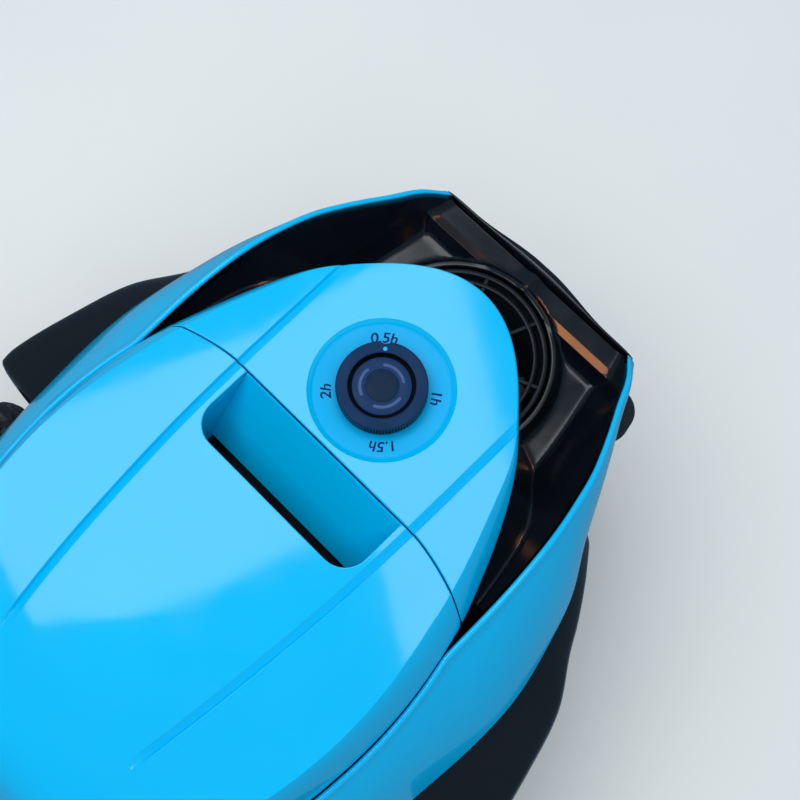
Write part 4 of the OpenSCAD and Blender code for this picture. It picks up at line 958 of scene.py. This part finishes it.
def deck_height(points):
    """Black deck under the hood: trough, outer wall, core, front ledge and outlet collar."""
    x, y = points.T
    u = np.abs(x)
    past = np.hypot(x, y - PUMP_Y) - OUTLET_BORE
    inward = np.maximum(rim_half_at(y) - SHELL_WALL / 2 - u, 0)
    wall = rim_z_at(y) - DECK_SIDE_DROP - DECK_SIDE_SLOPE * inward
    core = CAP_SEAT_Z - CORE_SLOPE * (u - curve(y, CORE_HALF))
    core = np.minimum(np.minimum(core, COLLAR_Z + COLLAR_RISE * past), CAP_SEAT_Z)
    lip = COLLAR_Z - COLLAR_FALL * np.maximum(past - COLLAR_WIDTH, 0)
    floor = np.full(len(x), DECK_FLOOR_Z)
    fields = [floor, wall, core, ledge_height(y), lip]
    return blend_max(fields, DECK_BLEND) - edge_fillet(past, 1.0)


def inner_deck():
    y = np.linspace(RIM_FRONT_Y + 0.4, SEAM_Y - 0.6, 90)
    side = np.column_stack([rim_half_at(y) - SHELL_WALL / 2 - DECK_INSET, y])
    front = level_line(np.linspace(-side[0, 0], side[0, 0], 60)[1:-1], y[0])
    back = level_line(np.linspace(side[-1, 0], -side[-1, 0], 80)[1:-1], y[-1])
    outline = np.vstack([front, side, back, mirrored(side)])
    lines = [ring_line(OUTLET_BORE + past, (0, PUMP_Y), 200)
             for past in (0.2, 0.5, 0.9, 1.5, 2.4, 3, 3.6, 5, 7)]
    for crease_y in (LEDGE_Y, LEDGE_Y - LEDGE_WIDTH):
        lines += [level_line(np.linspace(-60, 60, 80), crease_y + off) for off in (-0.12, 0.12)]
    plan = plan_mesh(outline, [circle(OUTLET_BORE, (0, PUMP_Y), 200)], lines, spacing=1.8)
    height_piece("deck_shell", plan, deck_height, DECK_WALL, "black_gloss", "hull",
                 ["inner_deck"])


def rounded_strip(inner, outer, z0, z1, r=0.6):
    """Closed (radius, height) profile of a ring with rounded corners."""
    corners = [(outer - r, z0 + r, -90), (outer - r, z1 - r, 0), (inner + r, z1 - r, 90),
               (inner + r, z0 + r, 180)]
    return np.vstack([arc(r, math.radians(a), math.radians(a + 90), 4, (cx, cz))
                      for cx, cz, a in corners])


def outlet_guard():
    """Rings and spokes over the pump's outlet."""
    z1 = span("outlet_guard", Z)[1]
    z0 = z1 - GUARD_DEPTH
    centre = np.array([0, PUMP_Y, 0])
    parts = [turned(rounded_strip(r, r + GUARD_STRIP, z0, z1), 96, centre) for r in GUARD_RINGS]
    edge = rounded_strip(OUTLET_R, OUTLET_R + GUARD_EDGE, z0 - GUARD_EDGE, z1, 0.8)
    r = GUARD_HUB_R
    hub = [(0.01, z0), (r - 0.4, z0), (r, z0 + 0.5), (r, z1 - 1), (r - 0.6, z1 - 0.3), (r - 2, z1),
           (0.01, z1)]
    parts += [turned(edge, 128, centre), turned(hub, 48, centre)]
    for k in range(GUARD_SPOKES):
        turn = 2 * math.pi * (k + 0.5) / GUARD_SPOKES
        out = np.array([math.cos(turn), math.sin(turn), 0])
        middle = centre + (0, 0, (z0 + z1) / 2)
        ends = (middle + reach * out for reach in (GUARD_HUB_R - 1, OUTLET_R + 1))
        parts.append(bar(*ends, GUARD_SPOKE_W, GUARD_STRIP))
    piece = new_piece("outlet_grille", *joined(parts), "black_gloss", "hull", ["outlet_guard"],
                      finish="black_satin")
    bevelled(piece, 0.4, 2, 60)


# ---- bars, skirts and rollers ----

def bowed_bar(half, front, bow, back, z0, z1):
    """Bar across the nose, foremost in the middle, with rounded edges and ends."""
    rings = []
    for x in half * np.sin(np.linspace(-math.pi / 2, math.pi / 2, 81)):
        end = math.sqrt(max(1 - (abs(x) / half) ** BAR_END_POWER, 0.04))
        bowed = front + bow * float(smooth_step((abs(x) - BOW_FLAT) / BOW_RUN))
        y = back + (bowed - back) * end
        r = min(3.0, 0.45 * (back - y))
        rings.append([(x, py, pz) for py, pz in rounded_strip(y, back, z0, z1, r)])
    return loft(rings)


def front_bumper():
    """Lower bar in front of the tub, and the sill that closes the shell's open front."""
    front, low = span("front_bumper", Y)[0], span("front_bumper", Z)[0]
    lower = bowed_bar(BUMPER_HALF, front, BUMPER_BOW, TUB_FRONT_Y - SEAT, low,
                      SILL_FOOT_Z + SILL_LAP)
    sill = bowed_bar(SILL_HALF, front + SILL_SETBACK, SILL_BOW, RIM_FRONT_Y - 0.4, SILL_FOOT_Z,
                     SILL_TOP_Z)
    new_piece("bumper_bar", *joined([lower, sill]), "black_gloss", "hull", ["front_bumper"],
              crease=40)


def rear_guard():
    low, high = span("rear_guard", Z)
    rear = span("rear_guard", Y)[1]
    half = GUARD_HALF
    side = np.array([(half, TUB_REAR_Y + SEAT), (half, rear - 11), (half - 8, rear - 4),
                     (half - 20, rear)])
    verts, faces = prism(np.vstack([side, mirrored(side)]), low, high)
    piece = new_piece("guard_bar", verts, faces, "black_gloss", "hull", ["rear_guard"])
    bevelled(piece, 2.5, 4, 32)


def cut_corners(line, rounds):
    """Rounds a polyline by cutting its corners, keeping its ends."""
    line = np.asarray(line, float)
    for _ in range(rounds):
        a, b = line[:-1], line[1:]
        inner = np.stack([0.75 * a + 0.25 * b, 0.25 * a + 0.75 * b], axis=1)
        line = np.vstack([line[:1], inner.reshape(-1, line.shape[1])[1:-1], line[-1:]])
    return line


def skirt(side):
    """Hollow side pod: an outer sheet closed round at both ends, thickened inwards."""
    y0, y1 = SKIRT_Y
    top, name = SKIRT_TOP_Z, side_name(side)
    near = SKIRT_END_R * (1 - np.cos(np.linspace(0, math.pi / 2, 8)))
    ys = np.concatenate([y0 + near, np.linspace(y0 + SKIRT_END_R, y1 - SKIRT_END_R, 60)[1:-1],
                         y1 - near[::-1]])
    rows = []
    for y in ys:
        outer = TRACK_HALF / 100 * float(curve(share(y, y0, y1), SKIRT_PLAN))
        inner = float(tub_half_at(y)) + SEAT
        deep = outer - inner
        line = cut_corners([(outer - 3, SKIRT_FOOT_Z), (outer - 0.5, SPLIT_Z - 71), (outer, SPLIT_Z - 23),
                            (outer - min(5, 0.3 * deep), SPLIT_Z - 16),
                            (inner + 0.45 * deep, top - 2), (inner, top)], 3)
        end = min(y - y0, y1 - y, SKIRT_END_R) / SKIRT_END_R
        closed = math.sqrt(max(1 - (1 - end) ** 2, 0))
        rows.append([(side * (inner + (x - inner) * closed), y, z) for x, z in line])
    faces = grid_faces(len(rows), len(rows[0]))
    if side < 0:
        faces = [face[::-1] for face in faces]
    piece = new_piece(name + "_skirt_cover", np.reshape(rows, (-1, 3)), faces, "black_gloss",
                      "hull", [name + "_skirt"], crease=60)
    wall = piece.modifiers.new("wall", "SOLIDIFY")
    wall.thickness = SKIRT_WALL * MM
    wall.offset = 1.0


def bumper_roller(side):
    """Ribbed rubber roller at the front corner."""
    low, high = ROLLER_Z
    r, bore, valley = ROLLER_R, ROLLER_BORE_R, ROLLER_R - ROLLER_GROOVE
    profile = [(bore, low), (r - 3, low), (r - 1, low + 1.2)]
    for z in low + 3 + ROLLER_PITCH * np.arange(ROLLER_RIBS):
        profile += [(r, z - 0.9), (r, z + 0.9), (valley, z + 1.5), (valley, z + 2.5)]
    profile = profile[:-2] + [(r - 1, high - 1.2), (r - 3, high), (bore, high)]
    node = side_name(side) + "_bumper_roller"
    centre = (sum(span(node, X)) / 2, sum(span(node, Y)) / 2, 0)
    new_piece(side_name(side) + "_roller_ribbed", *turned(profile, 64, centre), "rubber",
              side_name(side) + "_roller", [node])


# ---- dial ----

RIBS = 92
RIB_DEPTH = 0.8


def knob_radius(radius, height, angle):
    """Fine ribs round the knob's side, and the thumb notch beside the mark."""
    on_side = (radius > DIAL_R - 0.8) & (height > DIAL_FOOT + 0.4) & (height < DIAL_TOP - 0.9)
    radius = radius - RIB_DEPTH * (0.5 + 0.5 * np.cos(RIBS * angle)) * on_side
    off = np.angle(np.exp(1j * (angle - MARK_TURN)))
    centre = DIAL_R + NOTCH_R - NOTCH_DEPTH
    reach = centre * np.sin(off)
    hit = (np.abs(reach) < NOTCH_R) & (np.abs(off) < 0.5)
    limit = centre * np.cos(off) - np.sqrt(np.maximum(NOTCH_R ** 2 - reach ** 2, 0))
    return np.where(hit, np.minimum(radius, limit), radius)


def dial_knob():
    top, foot, r = DIAL_TOP, DIAL_FOOT, DIAL_R
    profile = [(BORE_R, foot), (r - 0.8, foot), (r - 0.3, foot + 0.3)]
    profile += [(r, z) for z in np.linspace(foot + 0.6, top - 1.0, 8)]
    profile += [(r, top - 0.8), (r - 0.1, top - 0.35), (r - 0.35, top - 0.1), (r - 0.7, top),
                (r - 2, top), (BORE_R + 1.5, top), (BORE_R + 0.5, top - 0.02),
                (BORE_R + 0.15, top - 0.2), (BORE_R, top - 0.6)]
    body = turned(profile, RIBS * 8, (0, DIAL_Y, 0), knob_radius)
    piece = new_piece("timer_knob", *body, "slate_knob", "dial", ["dial_knob"], crease=40)
    # faces below the top, the ribbed side among them, get near black: painted shade against the slate top
    second_finish(piece, "knob_side_painted_shade", lambda x, y, z: z < top - 0.25)


def dial_mark():
    z = DIAL_TOP
    at = (MARK_R * math.cos(MARK_TURN), DIAL_Y + MARK_R * math.sin(MARK_TURN), 0)
    profile = [(0.01, z - 0.7), (DOT_R, z - 0.7), (DOT_R, z + 0.02), (DOT_R - 0.15, z + 0.08),
               (0.01, z + 0.1)]
    new_piece("dial_dot", *turned(profile, 32, at), "cyan_mark", "dial", ["dial_mark"])


def power_button():
    """Push button: outer ring, narrow step, and a turned centre disc."""
    top, r, disc, stem = BUTTON_TOP, BUTTON_R, BUTTON_DISC_R, BUTTON_STEM_R
    foot, shelf = span("power_button", Z)[0], top - BUTTON_SHELF
    side = [(0.01, foot), (stem, foot), (stem, shelf), (r, shelf), (r, top - 0.7)]
    ring = [(r - 0.2, top - 0.2), (r - 0.7, top), (disc + 0.7, top), (disc + 0.4, top - 0.1)]
    step = [(disc + 0.25, top - 0.45), (disc, top - 0.45), (disc - 0.2, top - 0.2)]
    face = [(disc - 0.5, top - 0.12), (stem, top - 0.1), (0.01, top - 0.1)]
    profile = side + ring + step + face
    new_piece("push_button", *turned(profile, 128, (0, DIAL_Y, 0)), "slate_button", "button",
              ["power_button"])


def button_lights():
    """Three curved light windows with round ends."""
    parts = []
    for start in LIGHT_STARTS:
        first, last = math.radians(start), math.radians(start + LIGHT_SPAN)
        ends = [(LIGHT_R * math.cos(a), LIGHT_R * math.sin(a)) for a in (first, last)]
        outline = np.vstack([
            arc(LIGHT_R + LIGHT_HALF, first, last, 24),
            arc(LIGHT_HALF, last, last + math.pi, 7, ends[1])[1:-1],
            arc(LIGHT_R - LIGHT_HALF, last, first, 24),
            arc(LIGHT_HALF, first + math.pi, first + 2 * math.pi, 7, ends[0])[1:-1]])
        parts.append(prism(outline + (0, DIAL_Y), BUTTON_TOP - 0.4, BUTTON_TOP + 0.03))
    new_piece("light_windows", *joined(parts), "light_lens", "button", ["button_lights"])


# Text, turn in degrees and radius of its foot
LABELS = (("0.5h", -47, 23.6), ("1h", -143, 23.2), ("1.5h", 136, 24.8), ("2h", 46, 24))
LABEL_SIZE = 6.9
LABEL_STRETCH = 1.12
LABEL_SLANT = 0.1
LABEL_WEIGHT = 0.11  # added to each stroke's edge
LABEL_HALF = 0.02  # half thickness of the letters
LABEL_LIFT = 0.03  # from the dish's floor up to their middle


def letter_mesh(text):
    """Flat mesh of a short text in millimetres, standing on the origin."""
    letters = bpy.data.curves.new("label", "FONT")
    letters.body = text
    letters.size = LABEL_SIZE
    letters.shear = LABEL_SLANT
    letters.offset = LABEL_WEIGHT
    letters.align_x = "CENTER"
    letters.extrude = LABEL_HALF
    draft = in_scene("label", letters)
    bpy.context.view_layer.update()
    mesh = bpy.data.meshes.new_from_object(draft)
    bpy.data.objects.remove(draft)
    return mesh


def dial_labels():
    """Running times printed round the dish floor, each with its foot towards the dial."""
    for text, turn, foot in LABELS:
        mesh = letter_mesh(text)
        for vertex in mesh.vertices:
            x, y, z = vertex.co
            radius = foot + y
            angle = math.radians(turn) - LABEL_STRETCH * x / (foot + LABEL_SIZE / 3)
            rise = DISH_Z + DISH_SLOPE * (radius - DIAL_R) + LABEL_LIFT
            place = Vector((radius * math.cos(angle), DIAL_Y + radius * math.sin(angle), z + rise))
            vertex.co = place * MM
        mesh.materials.clear()
        dress(in_scene("label_" + text.replace(".", "_"), mesh), "cyan_mark", "hull",
              finish="label_ink")


# ---- wheels ----

TREADS = 28
TREAD_DEPTH = 3.1
TREAD_RIB = 2.0  # half width of the rib round the tyre's middle
TREAD_SLANT = 0.06  # turn of each groove from the rib to the tyre's edge, in radians
TREAD_GROOVE_HALF = 2.6
TREAD_GROOVE_WALL = 0.9  # width of a groove's sloping wall
# Wheel face: the web lies behind the tyre's face, between the rim and the hub
WEB_DEPTH = 11.0
WEB_WALL = 3.0
WEB_RIB_HALF = 3.2
RIM_INNER_R = 55.5
HUB_R = 17.0
HUB_BORE_R = 6.0
BARREL_R = 13.0
BARREL_BORE_R = 5.1
RIM_WALL = 3.5
# Centres of the six holes in the web, and circles of its mesh
HOLE_R = 11.0
HOLES = [(36 * math.cos(a), 36 * math.sin(a)) for a in np.radians(np.arange(0, 360, 60))]
WHEEL_RINGS = (4, 5, 6, 14.5, 15.2, 16, 16.8, 17.2, 19, 24, 55.5, 56.5, 57.5, 58.5, 59.2)


def tread_radius(radius, height, angle):
    """Two staggered rows of slanted grooves beside a centre rib; height runs across the tyre."""
    pitch = 2 * math.pi / TREADS
    across = height - TYRE_W / 2
    slant = TREAD_SLANT * (np.abs(across) - TREAD_RIB) / (TYRE_W / 2 - TREAD_RIB)
    phase = (angle + slant + np.where(across > 0, pitch / 2, 0)) / pitch
    off = np.abs(phase - np.round(phase)) * pitch * TYRE_R
    groove = smooth_step((TREAD_GROOVE_HALF - off) / TREAD_GROOVE_WALL)
    on_tread = (radius > TYRE_R - TREAD_DEPTH - 0.1) & (np.abs(across) > TREAD_RIB)
    return radius - TREAD_DEPTH * groove * on_tread


def rear_tyre(side):
    name = side_name(side)
    w, r = TYRE_W, TYRE_R
    half = [(WHEEL_R + 0.2, 2), (r - 4.5, 0.6), (r - 3, 0.3), (r - 1.2, 1.4), (r - 0.4, 2.6)]
    half += [(r, z) for z in np.linspace(4, w / 2 - 2.4, 8)]
    half += [(r, w / 2 - 2.05), (r, w / 2 - 1.9)]
    profile = half + [(radius, w - z) for radius, z in reversed(half)]
    tyre = turned(profile, TREADS * 16, radius_at=tread_radius)
    new_piece(name + "_tyre_tread", *laid_on_axle(*tyre, side), "tyre", name + "_drive_wheel",
              [name + "_rear_tyre"], crease=38)


def laid_on_axle(verts, faces, side):
    """Turns a body from the Z axis onto the rear axle, its top facing outwards."""
    verts = np.asarray(verts)
    x = side * (TRACK_HALF - TYRE_W + verts[:, 2])
    laid = np.column_stack([x, AXLE_Y + verts[:, 0], AXLE_Z + verts[:, 1]])
    return laid, faces if side > 0 else [face[::-1] for face in faces]


def raised(inwards, run, rise):
    """Height of a step that starts at a line and reaches its rise one run inwards of it."""
    return rise * smooth_step(inwards / run)


def wheel_face_height(points):
    """Dished web with raised ribs between six holes, the rim's lip and the hub."""
    radius = np.hypot(*points.T)
    angle = np.arctan2(points[:, 1], points[:, 0])
    web = TYRE_W - WEB_DEPTH + raised(24 - radius, 10, 2.2)
    sides = len(HOLES)
    off_rib = np.abs(np.angle(np.exp(1j * (angle * sides + math.pi)))) / sides * radius
    rib = raised(WEB_RIB_HALF - off_rib, 1.6, 1.8) * raised(radius - 18, 4, 1)
    rim = raised(radius - RIM_INNER_R, 3.5, 5.6)
    hub = raised(HUB_R - radius, 2.5, 5.2) - raised(HUB_BORE_R - radius, 2, 1.2)
    off_hole = np.min([np.hypot(*(points - hole).T) for hole in HOLES], axis=0) - HOLE_R
    lip = raised(2.4 - off_hole, 1.4, 1.2)
    return web + rib * (lip < 0.05) + rim + hub + lip


def rear_wheel(side):
    """Dished disc with six holes, and the rim and hub barrel behind it."""
    name = side_name(side)
    body = name + "_drive_wheel"
    holes = [circle(HOLE_R, hole, 60) for hole in HOLES]
    rings = [ring_line(r, (0, 0), 160) for r in WHEEL_RINGS]
    plan = plan_mesh(circle(WHEEL_R, (0, 0), 200), holes, rings, spacing=2.2)
    turn = Matrix(((0, 0, side, 0), (1, 0, 0, 0), (0, side, 0, 0), (0, 0, 0, 1)))
    shift = Matrix.Translation((side * (TRACK_HALF - TYRE_W), AXLE_Y, AXLE_Z))
    height_piece(name + "_wheel_disc", plan, wheel_face_height, WEB_WALL, "grey_plastic", body,
                 [name + "_rear_wheel"], shift @ turn)
    w, r = TYRE_W, WHEEL_R
    inner, bore, barrel_r = r - RIM_WALL, BARREL_BORE_R, BARREL_R
    rim = [(inner, 2), (r - 0.4, 1), (r, 1.4), (r, w - 5.4), (r - 1, w - 5.1), (inner, w - 5.4)]
    barrel = [(bore, 2), (barrel_r - 1, 2), (barrel_r, 3), (barrel_r, w - 9), (bore, w - 9)]
    solid = joined([turned(rim, 160), turned(barrel, 64)])
    new_piece(name + "_wheel_barrel", *laid_on_axle(*solid, side), "grey_plastic", body)


# ---- filter ----

def filter_mesh():
    """Woven mesh on the basket's four walls: fine upright and level strands."""
    (x0, x1), (y0, y1), (z0, z1) = (span("filter_mesh", axis) for axis in (X, Y, Z))
    pitch, strand, inset = 2.6, 0.5, 0.4
    walls_x, walls_y = (x0 + inset, x1 - inset), (y0 + inset, y1 - inset)
    levels = np.arange(z0 + strand, z1, pitch)
    ends = [((x0, y, z), (x1, y, z)) for z in levels for y in walls_y]
    ends += [((x, y0, z), (x, y1, z)) for z in levels for x in walls_x]
    upright = [(x, y) for x in np.arange(x0 + 1, x1, pitch) for y in walls_y]
    upright += [(x, y) for y in np.arange(y0 + 1, y1, pitch) for x in walls_x]
    ends += [((x, y, z0), (x, y, z1)) for x, y in upright]
    strands = joined([bar(a, b, strand, strand) for a, b in ends])
    new_piece("filter_weave", *strands, "filter_mesh", "hull", ["filter_mesh"])


# ---- CAD nodes that keep their shape ----

SMOOTH_ANGLE = 31
# nodes down narrow gaps get near black in place of their slot's finish: painted shade
PAINTED_SHADE_NODES = ("filter_well", "button_sleeve", "rear_deck")  # dull black, down narrow gaps


def smooth_by_angle():
    """Node group that shades a CAD mesh smooth except across its sharp edges."""
    tree = bpy.data.node_groups.new("smooth_by_angle", "GeometryNodeTree")
    tree.is_modifier = True
    for way in ("INPUT", "OUTPUT"):
        tree.interface.new_socket("Geometry", in_out=way, socket_type="NodeSocketGeometry")
    start, end = (tree.nodes.new("NodeGroup" + side) for side in ("Input", "Output"))
    angle = tree.nodes.new("GeometryNodeInputMeshEdgeAngle")
    flat = tree.nodes.new("FunctionNodeCompare")
    flat.operation = "LESS_THAN"
    flat.inputs["B"].default_value = math.radians(SMOOTH_ANGLE)
    tree.links.new(angle.outputs["Unsigned Angle"], flat.inputs["A"])
    bare = tree.nodes.new("GeometryNodeRemoveAttribute")
    bare.inputs["Name"].default_value = "custom_normal"
    welded = tree.nodes.new("GeometryNodeMergeByDistance")
    welded.inputs["Distance"].default_value = 0.001 * MM
    faces, edges = (tree.nodes.new("GeometryNodeSetShadeSmooth") for _ in range(2))
    edges.domain = "EDGE"
    tree.links.new(flat.outputs[0], edges.inputs["Shade Smooth"])
    chain = [start, bare, welded, faces, edges, end]
    for before, after in zip(chain, chain[1:]):
        tree.links.new(before.outputs[0], after.inputs[0])
    return tree


def dress_frame():
    """Gives each CAD node its slot's finish, or near black as painted shade down narrow gaps."""
    smooth = smooth_by_angle()
    for part in frame["record"]["subparts"]:
        finish = "black_deep" if part["node"] in PAINTED_SHADE_NODES else part["material_slot"]
        node = frame["nodes"][part["node"]]
        node.data.materials.clear()
        node.data.materials.append(MATERIALS[finish])
        node.modifiers.new("smooth", "NODES").node_group = smooth


# ---- studio ----

# Metres and radians
PANEL_Z = 1.6
PANEL_TURN = math.radians(-23)
PANEL_RADIANCE = 2.75
CARD_PLACE = (0.04, -1.12, 0.91)
CARD_TARGET = (-0.03, -0.187, 0.175)
WARM = (1, 0.39, 0.15)
WORLD_COLOUR = (0.42, 0.64, 0.85, 1)
WORLD_STRENGTH = 0.38
CAMERA_AIM = Vector((-0.0096, (DIAL_Y - 2.2) * MM, HOOD_Z * MM))
CAMERA_BACK = Vector((-0.1949, 0.1949, 0.9613))
CAMERA_DISTANCE = 0.6167


def studio_floor():
    size = 4.0
    mesh = bpy.data.meshes.new("studio_floor")
    corners = [(-size, -size, 0), (size, -size, 0), (size, size, 0), (-size, size, 0)]
    mesh.from_pydata(corners, [], [(0, 1, 2, 3)])
    mesh.materials.append(floor_material())
    floor = in_scene("studio_floor", mesh)
    floor.visible_glossy = False


def soft_light(name, place, target, size, radiance, colour=(1, 1, 1), gloss=True, diffuse=True):
    """Rectangular softbox that faces a target; gloss and diffuse say what light it gives."""
    light = bpy.data.lights.new(name, "AREA")
    light.shape = "RECTANGLE"
    light.size, light.size_y = size
    light.energy = radiance * math.pi * size[0] * size[1]
    light.color = colour
    lamp = in_scene(name, light)
    lamp.location = place
    lamp.rotation_euler = (Vector(target) - Vector(place)).to_track_quat("-Z", "Y").to_euler()
    lamp.visible_camera = False
    lamp.visible_glossy = gloss
    lamp.visible_diffuse = diffuse
    return lamp


def overhead_panel(name, x, y, size):
    """Panel straight above a spot, turned level with the hood's seam in the picture."""
    panel = soft_light(name, (x, y, PANEL_Z), (x, y, 0), size, PANEL_RADIANCE)
    panel.rotation_euler.z = PANEL_TURN


def studio_lights(deck):
    """Wide overhead fill, two panels that the hood mirrors and a warm card for the deck."""
    soft_light("overhead_fill", (0, 0, 2.2), (0, 0, 0), (3, 3), 1.55, (0.97, 0.99, 1), gloss=False)
    overhead_panel("long_panel", 0.48, -0.01, (0.49, 1.14))
    overhead_panel("short_panel", -0.06, -0.27, (0.3, 0.25))
    card = soft_light("warm_card", CARD_PLACE, CARD_TARGET, (0.42, 0.22), 9, WARM, diffuse=False)
    lit = bpy.data.collections.new("lit_by_warm_card")
    lit.objects.link(deck)
    card.light_linking.receiver_collection = lit
    world = bpy.data.worlds.new("studio")
    world.use_nodes = True
    back = world.node_tree.nodes["Background"]
    back.inputs["Color"].default_value = WORLD_COLOUR
    back.inputs["Strength"].default_value = WORLD_STRENGTH
    bpy.context.scene.world = world


def camera():
    """Camera above the dial, leaning towards the tail's right side."""
    data = bpy.data.cameras.new("camera")
    data.lens = 60
    data.sensor_width = 36
    data.clip_start = 0.01
    shot = in_scene("camera", data)
    shot.location = CAMERA_AIM + CAMERA_DISTANCE * CAMERA_BACK
    shot.rotation_euler = (-CAMERA_BACK).to_track_quat("-Z", "Y").to_euler()
    bpy.context.scene.camera = shot


# ---- build ----

bpy.context.scene.view_settings.view_transform = "Standard"
camera()
dress_frame()
for build in (front_cap, top_lid, grip_scoop, outer_shell, inner_deck, outlet_guard, front_bumper,
              rear_guard, dial_knob, dial_mark, power_button, button_lights, dial_labels,
              filter_mesh):
    build()
for which in (1, -1):
    for build in (skirt, bumper_roller, rear_tyre, rear_wheel):
        build(which)
studio_floor()
studio_lights(deck=bpy.data.objects["deck_shell"])
